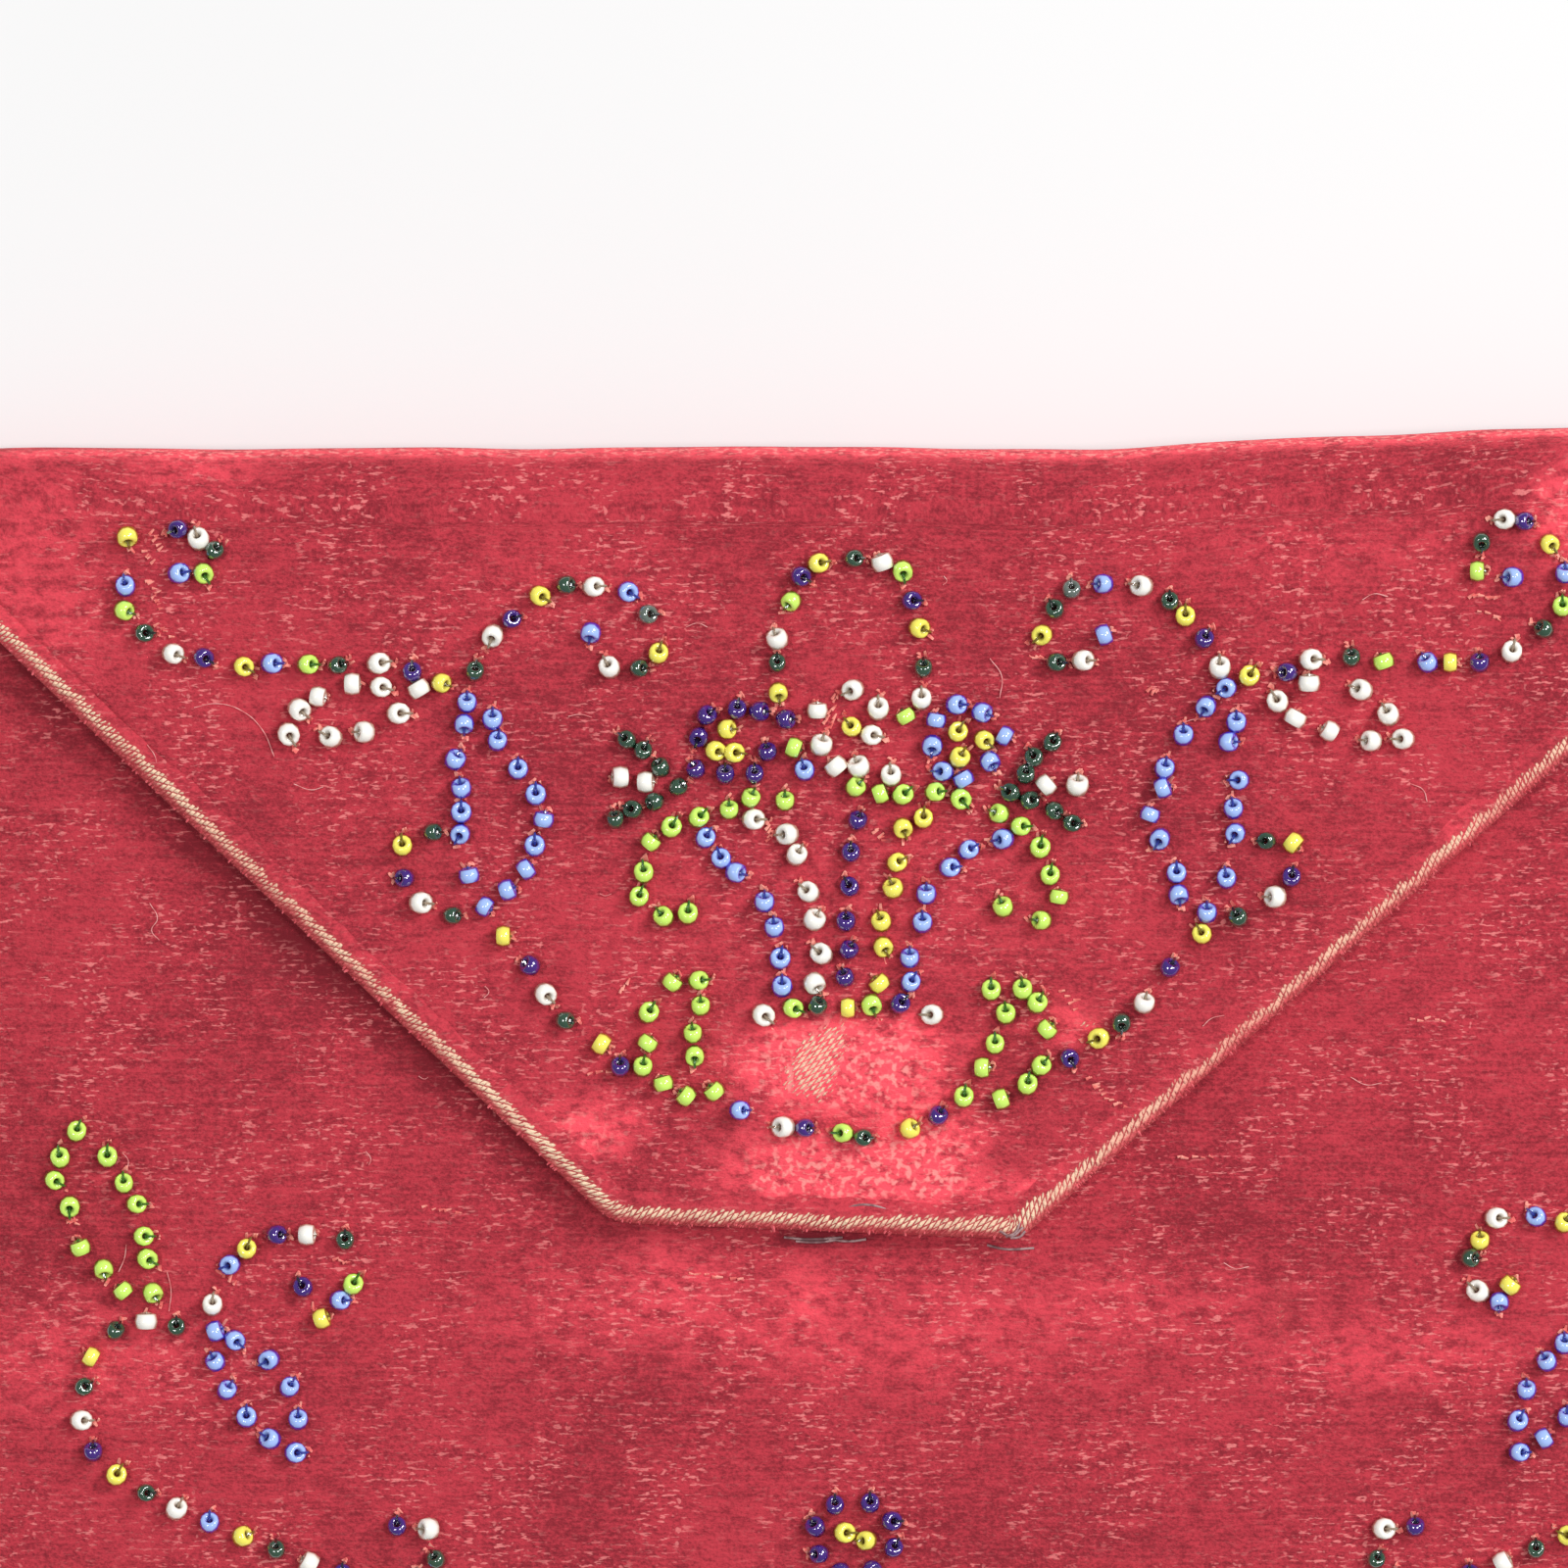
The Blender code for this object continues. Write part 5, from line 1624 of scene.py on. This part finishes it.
@dataclass
class Lining(FoldedStrip):
    """The satin inside the bag: one strip from the back over the fold to the flap."""

    columns: int = 92
    flap_rows: int = 54
    fold_rows: int = 40
    back_rows: int = 44
    flap_inset: float = 0.0027
    pouch_inset: float = 0.0041
    thickness: float = 0.0003
    wave: float = 0.00010
    pucker: float = 0.00008
    pucker_pitch: float = 0.0044
    fold_length: float = 0.017
    back_length: float = 0.12

    def build(self, palette: Palette) -> Object:
        """Lay the strip, and return it."""
        strip, x, _, _, path = self.lay("lining_strip")
        write_plan(strip, "cloth", x, path)
        flip(strip)
        thicken(strip, self.thickness)
        shade(strip, palette.satin)
        return register(strip, "lining", "back_lining", "fold_lining", "flap_lining")

    def lay_flap(self, across: Array, along: Array) -> tuple[Array, ...]:
        """The flap's part: places, heights and the length along the cloth."""
        x, y = BAG.flap_patch(self.flap_inset, across, along)
        z = BAG.flap_low(x, y) + self.wrinkle(x, y, np.minimum(across, 1 - across), 41)
        return x, y, z, y

    def lay_fold(self, side: Array, along: Array) -> tuple[Array, ...]:
        """The fold's part, from the flap at 0 to the back at 1."""
        x = side * BAG.fold_half(self.flap_inset, self.pouch_inset, along * 2)
        y, z = BAG.fold(x, 1 - along, BAG.panel)
        y = y + BAG.fold_waver(x, 1 - along)
        return x, y, z, BAG.joint_y + along * self.fold_length

    def lay_back(self, side: Array, along: Array) -> tuple[Array, ...]:
        """The back's part, from the fold at 0 to the bottom seam at 1."""
        y = BAG.joint_y - (BAG.joint_y + BAG.half_length - self.pouch_inset) * along
        x = side * (BAG.seam_x(y - self.pouch_inset) - self.pouch_inset)
        z = BAG.panel - self.wrinkle(x, y, np.full_like(x, 0.5), 39)
        return x, y, z, BAG.joint_y + self.fold_length + along * self.back_length

    def wrinkle(self, x: Array, y: Array, edge: Array, seed: int) -> Array:
        """Small waves and edge puckers of the satin, which only rise into its own room."""
        wave = 0.5 + 0.5 * ripple(x, y * 0.5, 0.016, seed)
        pucker = 0.5 + 0.5 * np.sin(y * 2 * math.pi / self.pucker_pitch)
        return self.wave * np.clip(wave, 0, 1) + self.pucker * pucker * np.exp(-edge * 60)


@dataclass
class InnerLayers:
    """The front's lining and the three stiffeners."""

    inset: float = 0.0050
    hem: float = 0.0027
    satin: float = 0.0003
    canvas: float = 0.0007
    back_height: float = 0.0021
    flap_height: float = 0.0015
    satin_wave: float = 0.00008
    cells: tuple[int, int] = (60, 44)
    satin_cells: tuple[int, int] = (90, 70)

    def build(self, palette: Palette) -> list[Object]:
        """Lay the layers, and return them."""
        front, back = self.pouch_plan(BAG.mouth_y - self.hem), self.pouch_plan(BAG.joint_y)
        satin = (self.satin_cells, palette.satin, self.satin, "lining")
        canvas = (self.cells, palette.canvas, self.canvas, "interlining")
        return [
            self.lay("front_lining_panel", front, self.satin_top, *satin, "front_lining", "pouch"),
            self.lay("front_stiffener", front,
                     lambda x, y: BAG.front_low(x, y) + BAG.lining + BAG.gap + BAG.canvas,
                     *canvas, "front_interlining", "pouch"),
            self.lay("back_stiffener", back, lambda x, y: np.full_like(x, self.back_height),
                     *canvas, "back_interlining", "pouch"),
            self.lay("flap_stiffener", self.flap_plan,
                     lambda x, y: BAG.flap_low(x, y) + self.flap_height,
                     *canvas, "flap_interlining", "flap"),
        ]

    def satin_top(self, x: Array, y: Array) -> Array:
        """The front lining's upper side."""
        wave = self.satin_wave * (1 + ripple(x, y, 0.015, 51))
        return BAG.front_low(x, y) + BAG.lining - wave

    def flap_plan(self, across: Array, along: Array) -> tuple[Array, Array]:
        """Where the cells of the flap's layer stand in plan."""
        return BAG.flap_patch(self.hem, across, along)

    def pouch_plan(self, top: float) -> Surface:
        """Where the cells of a pouch layer that ends at a place towards the fold stand in plan."""
        def plan(across: Array, along: Array) -> tuple[Array, Array]:
            """Turn shares of the layer into places on the bag."""
            bottom = self.inset - BAG.half_length
            y = bottom + (top - bottom) * along
            return (2 * across - 1) * (BAG.seam_x(y - self.inset) - self.inset), y
        return plan

    def lay(self, name: str, plan: Callable, high: Surface, cells: tuple[int, int],
            material: Material, thickness: float, slot: str, node: str, body: str) -> Object:
        """Lay one layer.

        Args:
            name: Its name.
            plan: Its places in plan as a function of its shares across and along.
            high: Its upper side's height as a function of x and y.
            cells: Its cells across and along.
            material: Its finish.
            thickness: Its thickness, downwards from that side.
            slot: Its material slot.
            node: The node that it stands for.
            body: The body that it moves with.

        Returns:
            The layer.
        """
        panel, across, along = cloth_grid(name, *cells)
        x, y = plan(across, along)
        write_points(panel, x, y, high(x, y))
        write_plan(panel, "cloth", x, y)
        thicken(panel, thickness)
        shade(panel, material)
        return register(panel, slot, node, body=body)


@dataclass
class BeadWork:
    """The seed beads, each tipped over by the thread that goes through it into the cloth."""

    segments: int = 11
    wall_steps: int = 7
    squareness: float = 2.7
    hole: float = 0.00023
    hole_edge: tuple[float, float] = (-0.62, 0.3)
    oval: float = 0.94
    thread_radius: float = 0.00012
    thread_way: tuple = ((0.3, 0.0), (1.02, 0.25), (1.04, 0.80), (0.80, 1.04))
    thread_slack: float = 0.0001
    thread_end: float = -0.0004
    sink: float = 0.00030
    tips: tuple[int, ...] = (28, 37, 46, 57)
    side_tips: tuple[int, ...] = (80, 87)
    fibres: int = 3
    fibre_foot: float = 0.00025
    fibre_end: float = 0.00015
    fibre_length: tuple[float, float] = (0.0005, 0.0009)
    fibre_reach: tuple[float, float] = (-0.0001, 0.0004)
    fibre_aside: float = 0.0005
    sizes: tuple[float, float] = (0.96, 1.04)
    seed: int = 71
    templates: dict = field(default_factory=dict)

    def model_bead(self, kind: Glass, tip: int, palette: Palette, draw: random.Random) -> Object:
        """Model one bead that leans towards +X on the plane, with its thread and raised pile.

        Args:
            kind: Its glass.
            tip: How far it leans, in degrees.
            palette: The finishes.
            draw: What makes the beads differ.

        Returns:
            The bead, its lowest point a little under the plane.
        """
        finish = kind.value
        outer, half = finish.width / 2, finish.length / 2
        middle, wall = (outer + self.hole) / 2, (outer - self.hole) / 2
        deselect()
        bpy.ops.mesh.primitive_torus_add(major_segments=self.segments, major_radius=middle,
                                         minor_segments=self.wall_steps, minor_radius=wall)
        bead = bpy.context.object
        x, y, z = read_points(bead).T
        radius = np.hypot(x, y)
        out, up = (radius - middle) / wall, z / wall
        power = self.squareness
        grow = (np.abs(out) ** power + np.abs(up) ** power) ** (-1 / power)
        reach = (middle + wall * out * grow) / radius
        oval = draw.uniform(self.oval, 1.0)
        # The hole's wall takes the glass's dark colour: painted shade in the recess.
        write_value(bead, "hole", np.clip((self.hole_edge[0] - out) / self.hole_edge[1], 0, 1))
        lean = Matrix.Rotation(math.radians(tip), 3, "Y")
        points = np.stack((x * reach, y * reach * oval, half * up * grow), axis=1)
        x, y, z = (points @ np.array(lean).T).T
        lift = -z.min() - self.sink
        write_points(bead, x, y, z + lift)
        bead.data.materials.append(palette.glass[kind])
        bpy.ops.object.shade_smooth()
        axis, aside = lean @ Vector((0, 0, half)), lean @ Vector((outer, 0, 0))
        way = [Vector((0, 0, lift)) + axis * up + aside * out for up, out in self.thread_way]
        foot = way[-1].x
        slack = self.thread_slack
        way.append(Vector((foot - slack, draw.uniform(-slack, slack), self.thread_end)))
        thread = self.model_thread(way, palette.glass[kind])
        fibres = [self.model_fibre(foot, palette, draw) for _ in range(self.fibres)]
        return join([bead, thread, *fibres], f"bead_{kind.name}_{tip}")

    def model_thread(self, way: list[Vector], glass: Material) -> Object:
        """Model the thread between a bead's hole and the cloth, coloured with the glass's painted
        shade.
        """
        deselect()
        bpy.ops.mesh.primitive_circle_add(vertices=4, radius=self.thread_radius)
        thread = bpy.context.object
        thread.data.transform(Matrix.Translation(way[0]))
        bpy.ops.object.mode_set(mode="EDIT")
        bpy.ops.mesh.select_all(action="SELECT")
        for here, there in zip(way, way[1:]):
            move = tuple(there - here)
            bpy.ops.mesh.extrude_region_move(TRANSFORM_OT_translate={"value": move})
        bpy.ops.object.mode_set(mode="OBJECT")
        # The thread takes the glass's dark colour: painted shade tinted by the glass.
        write_value(thread, "hole", np.ones(len(thread.data.vertices)))
        thread.data.materials.append(glass)
        return thread

    def model_fibre(self, foot: float, palette: Palette, draw: random.Random) -> Object:
        """Model a short tuft of pile that the thread pulls up beside a bead.

        Args:
            foot: Where the thread goes into the cloth.
            palette: The finishes.
            draw: What makes the tufts differ.

        Returns:
            The tuft.
        """
        deselect()
        bpy.ops.mesh.primitive_cone_add(vertices=3, radius1=self.fibre_foot,
                                        radius2=self.fibre_end,
                                        depth=draw.uniform(*self.fibre_length))
        fibre = bpy.context.object
        turn = Euler((draw.uniform(-0.9, 0.9), draw.uniform(0.2, 1.3), 0)).to_matrix().to_4x4()
        x = foot + draw.uniform(*self.fibre_reach)
        shift = Vector((x, draw.uniform(-self.fibre_aside, self.fibre_aside), 0))
        fibre.data.transform(Matrix.Translation(shift) @ turn)
        fibre.data.materials.append(palette.fibre[Fibre.TUFT])
        return fibre

    def prepare(self, palette: Palette) -> None:
        """Model every kind of bead at each tip."""
        draw = random.Random(self.seed)
        for kind in Glass:
            for tips, on_side in ((self.tips, False), (self.side_tips, True)):
                self.templates[kind, on_side] = [
                    self.model_bead(kind, tip, palette, draw) for tip in tips]

    def sew(self, name: str, beads: list[Bead], body: str) -> Object:
        """Lay copies of the beads along one motif.

        Args:
            name: The motif's node.
            beads: Its beads in order.
            body: The body that it moves with.

        Returns:
            The motif as one piece.
        """
        draw = random.Random(f"{name}{self.seed}")
        copies = []
        for bead in beads:
            draw.gauss(0, 1)  # Nothing reads this draw, but the later ones hang on it.
            source = draw.choice(self.templates[bead.kind, bead.on_side])
            place = (bead.x, bead.y, height_at(BAG.top_of(body), bead.x, bead.y))
            spin = Matrix.Rotation(math.radians(bead.heading), 4, "Z")
            size = Matrix.Scale(draw.uniform(*self.sizes), 4)
            copies.append(copy_part(source, Matrix.Translation(place) @ spin @ size))
        slot = next(slot for key, slot in SLOTS.items() if key in name)
        return register(join(copies, name + "_beads"), slot, name, body=body)

    def clear(self) -> None:
        """Remove the beads that the copies were made from."""
        for sources in self.templates.values():
            for source in sources:
                bpy.data.objects.remove(source, do_unlink=True)


@dataclass
class Lint:
    """Loose fibres that lie on the pile, each a fine bent hair, in pixels of the photograph; three
    grey ones below the flap's tip stand for a dark patch of painted shadow.
    """

    flap: tuple = (
        "198,722 222,718 248,726 268,745 280,772", "150,760 158,772 160,786",
        "1010,672 1022,690 1020,712", "580,731 592,729 604,732", "963,588 966,593 962,597",
        "495,1006 499,1012 494,1018", "1227,1047 1236,1039 1249,1036",
        "1205,739 1214,735 1224,733", "300,800 318,806 330,803", "1390,612 1402,606 1416,609",
        "1440,800 1452,806 1456,818", "612,912 618,914 624,912", "700,640 712,636 722,640",
    )
    front: tuple = (
        "150,922 158,938 152,950 160,960", "590,1060 600,1066 612,1064",
        "1380,1100 1396,1108 1412,1106", "463,1017 468,1022 464,1026",
        "122,1178 128,1186 126,1196", "372,1176 377,1184 375,1190", "118,1300 124,1286 126,1272",
        "168,1300 172,1318 170,1340", "426,1099 432,1102 436,1100",
        "1250,1290 1262,1296 1276,1294", "640,1330 652,1326 664,1329",
    )
    grey_flap: tuple = (
        "866,1231 884,1229 904,1233", "1020,1256 1032,1261 1044,1252",
        "1026,1262 1036,1257 1041,1246", "1031,1263 1040,1262 1046,1256",
    )
    # The last three, below the flap's tip, are a dark grey patch: painted shadow under the tip.
    grey_front: tuple = (
        "1008,1272 1026,1276 1056,1275", "800,1264 826,1266 860,1264", "812,1268 834,1269 852,1267",
        "846,1266 866,1268 884,1266",
    )
    radius: float = 0.00005
    grey_radius: float = 0.00013
    height: float = 0.00015

    def build(self, palette: Palette) -> None:
        """Lay the fibres."""
        pale = palette.fibre[Fibre.LINT], self.radius
        grey = palette.fibre[Fibre.GREY], self.grey_radius
        self.lay("flap_lint", self.flap, "flap", *pale)
        self.lay("front_lint", self.front, "pouch", *pale)
        self.lay("flap_grey_frays", self.grey_flap, "flap", *grey)
        self.lay("front_grey_frays_and_shadow", self.grey_front, "pouch", *grey)

    def lay(self, name: str, lines: tuple, body: str, material: Material, radius: float) -> None:
        """Lay some hairs as one piece.

        Args:
            name: The piece's name.
            lines: Each hair's way in pixels.
            body: The body that it moves with.
            material: Its finish.
            radius: Half a hair's thickness.
        """
        hairs = join([self.model_hair(line, body, radius) for line in lines], name)
        hairs.data.transform(hairs.matrix_world)
        hairs.matrix_world = Matrix.Identity(4)
        dress(hairs, material)
        register(hairs, "thread", body=body)

    def model_hair(self, line: str, body: str, radius: float) -> Object:
        """Model one hair.

        Args:
            line: Its way in pixels.
            body: The body that it lies on.
            radius: Half its thickness.

        Returns:
            The hair as a mesh.
        """
        pixels = [[float(part) for part in word.split(",")] for word in line.split()]
        deselect()
        bpy.ops.curve.primitive_bezier_curve_add()
        hair = bpy.context.object
        spline = hair.data.splines[0]
        spline.bezier_points.add(len(pixels) - 2)
        for point, pixel in zip(spline.bezier_points, pixels):
            x, y = photo_place(*pixel)
            point.co = (x, y, height_at(BAG.top_of(body), x, y) + self.height)
            point.handle_left_type = point.handle_right_type = "AUTO"
        hair.data.bevel_depth = radius
        hair.data.bevel_resolution = 0
        hair.data.resolution_u = 6
        hair.data.use_fill_caps = True
        activate(hair)
        bpy.ops.object.convert(target="MESH")
        return bpy.context.object


@dataclass
class PulledPile:
    """Short pale ends of pile where stitches have pulled or a bead has come off.

    Each row is its start and end in pixels, how many ends it has, and which way they lean in
    degrees.
    """

    flap_rows: tuple = (
        (152, 540, 166, 562, 5, 30), (146, 560, 158, 574, 4, 30), (150, 590, 164, 604, 4, 25),
        (158, 606, 166, 622, 4, 20), (158, 640, 176, 650, 4, 10), (852, 708, 850, 742, 7, 50),
        (846, 722, 843, 752, 5, 45), (786, 840, 782, 862, 4, 60), (893, 848, 902, 856, 5, 20),
        (1050, 671, 1066, 671, 4, 0), (1172, 700, 1180, 708, 4, 60), (1085, 1010, 1100, 1030, 5, 20),
        (1500, 606, 1530, 612, 6, 10), (1508, 624, 1534, 632, 5, 350), (640, 1000, 632, 1012, 3, 70),
        (1108, 1096, 1128, 1118, 6, 20), (1126, 1120, 1150, 1128, 5, 10), (600, 1090, 640, 1098, 5, 5),
    )
    front_rows: tuple = (
        (224, 1300, 240, 1312, 4, 60), (340, 1286, 358, 1290, 4, 10), (66, 1246, 78, 1250, 4, 10),
        (318, 1330, 322, 1342, 3, 90), (1440, 1040, 1480, 1046, 5, 0), (700, 1300, 760, 1306, 7, 0),
        (430, 1230, 470, 1240, 5, 10), (1200, 1180, 1240, 1184, 5, 0),
    )
    radius: float = 0.00015
    length: float = 0.00062
    height: float = 0.00008
    scatter: float = 1.5
    seed: int = 91

    def build(self, palette: Palette) -> None:
        """Lay the ends on the flap and on the front."""
        self.lay("flap_pulled_pile", self.flap_rows, "flap", palette)
        self.lay("front_pulled_pile", self.front_rows, "pouch", palette)

    def lay(self, name: str, rows: tuple, body: str, palette: Palette) -> None:
        """Lay the rows of one body as one piece.

        Args:
            name: The piece's name.
            rows: Its rows.
            body: The body.
            palette: The finishes.
        """
        draw = random.Random(self.seed)
        deselect()
        bpy.ops.mesh.primitive_cone_add(vertices=4, radius1=self.radius,
                                        radius2=self.radius * 0.5, depth=self.length)
        end = bpy.context.object
        end.data.materials.append(palette.fibre[Fibre.TUFT])
        copies = []
        for px0, py0, px1, py1, count, lean in rows:
            for index in range(count):
                share = (index + 0.5) / count
                px = px0 + (px1 - px0) * share + draw.gauss(0, self.scatter)
                py = py0 + (py1 - py0) * share + draw.gauss(0, self.scatter)
                x, y = photo_place(px, py)
                place = (x, y, height_at(BAG.top_of(body), x, y) + self.height)
                flat = Matrix.Rotation(math.radians(draw.uniform(75, 100)), 4, "Y")
                turn = Matrix.Rotation(math.radians(lean + draw.gauss(0, 14)), 4, "Z")
                size = Matrix.Scale(draw.uniform(0.7, 1.3), 4)
                copies.append(copy_part(end, Matrix.Translation(place) @ turn @ flat @ size))
        bpy.data.objects.remove(end, do_unlink=True)
        register(join(copies, name), "velvet", body=body)


class KeptNodes:
    """The frame's own pieces whose shapes are right, with better finishes."""

    threads = ("seam_thread", "mouth_thread", "flap_hem_thread", "stud_stitches",
               "socket_stitches")
    metal = ("snap_stud", "snap_socket", "snap_spring")

    def dress(self, palette: Palette) -> None:
        """Give the kept pieces their materials."""
        for names, material in ((self.threads, palette.thread), (self.metal, palette.metal)):
            for name in names:
                dress(frame["nodes"][name], material)
                LOG.info("%s: kept", name)


@dataclass
class Studio:
    """The floor, the soft lamps and the camera straight above."""

    distance: float = 0.90
    view: float = 0.160
    sensor: float = 36.0
    middle: tuple[float, float] = (800, 800)
    focus_height: float = 0.015
    aim: tuple[float, float, float] = (0, 0.02, 0)
    floor_size: float = 6
    floor_height: float = -0.0002
    soft_light: float = 0.34
    backdrop: float = 0.9
    glossy_light: float = -0.20
    lamps: tuple = (
        ("key", (1.26, 0.86, 1.32), 0.66, 23.4),
        ("top_left", (-1.02, 0.08, 2.52), 0.54, 18.0),
        ("top_right", (0.96, 0.08, 2.52), 0.54, 18.9),
    )

    def build(self) -> None:
        """Set up the camera, the lamps and the floor."""
        x, y = photo_place(*self.middle)
        data = bpy.data.cameras.new("camera")
        data.sensor_width = self.sensor
        data.lens = self.sensor * self.distance / self.view
        camera = bpy.data.objects.new("camera", data)
        camera.location = (x, y, self.focus_height + self.distance)
        bpy.context.scene.collection.objects.link(camera)
        bpy.context.scene.camera = camera
        for lamp in self.lamps:
            self.hang_lamp(*lamp)
        self.set_world()
        deselect()
        bpy.ops.mesh.primitive_plane_add(size=self.floor_size, location=(0, 0, self.floor_height))
        floor = bpy.context.object
        floor.name = "floor"
        floor.data.materials.append(FloorFinish().make())
        bpy.context.scene.view_settings.view_transform = "Standard"

    def hang_lamp(self, name: str, place: tuple, size: float, power: float) -> None:
        """Add a square soft lamp that points at the bag.

        Args:
            name: Its name.
            place: Where it hangs.
            size: Its side.
            power: Its power in watts.
        """
        data = bpy.data.lights.new(name, "AREA")
        data.size = size
        data.energy = power
        lamp = bpy.data.objects.new(name, data)
        lamp.location = place
        aim = Vector(self.aim) - Vector(place)
        lamp.rotation_euler = aim.to_track_quat("-Z", "Y").to_euler()
        bpy.context.scene.collection.objects.link(lamp)

    def set_world(self) -> None:
        """Light everything softly, and show a near-white background to the camera."""
        world = bpy.data.worlds.new("studio")
        bpy.context.scene.world = world
        world.use_nodes = True
        tree = world.node_tree
        back = tree.nodes["Background"]
        back.inputs["Color"].default_value = (1, 1, 1, 1)
        path = tree.nodes.new("ShaderNodeLightPath")
        level = tree.nodes.new("ShaderNodeMapRange")
        level.inputs[3].default_value = self.soft_light
        level.inputs[4].default_value = self.backdrop
        tree.links.new(path.outputs["Is Camera Ray"], level.inputs[0])
        less = tree.nodes.new("ShaderNodeMath")
        less.operation = "MULTIPLY_ADD"
        less.inputs[1].default_value = self.glossy_light
        tree.links.new(path.outputs["Is Glossy Ray"], less.inputs[0])
        tree.links.new(level.outputs[0], less.inputs[2])
        tree.links.new(less.outputs[0], back.inputs["Strength"])


def main() -> None:
    """Build the bag's looks round the frame."""
    logging.basicConfig(level=logging.INFO, format="%(message)s")
    Studio().build()
    palette = Palette()
    motifs = all_motifs()
    flap_beads = [bead for name in FLAP_CHART for bead in motifs[name]]
    front_beads = [bead for name, beads in motifs.items() if name not in FLAP_CHART
                   for bead in beads]
    strip = VelvetStrip(beads=flap_beads).build(palette)
    edge = FlapHem().build(palette)
    front = PouchFront(beads=front_beads).build(palette)
    lining = Lining().build(palette)
    layers = InnerLayers().build(palette)
    work = BeadWork()
    work.prepare(palette)
    for name, beads in motifs.items():
        work.sew(name, beads, "flap" if name in FLAP_CHART else "pouch")
    work.clear()
    Lint().build(palette)
    PulledPile().build(palette)
    KeptNodes().dress(palette)


if __name__ == "__main__":
    main()
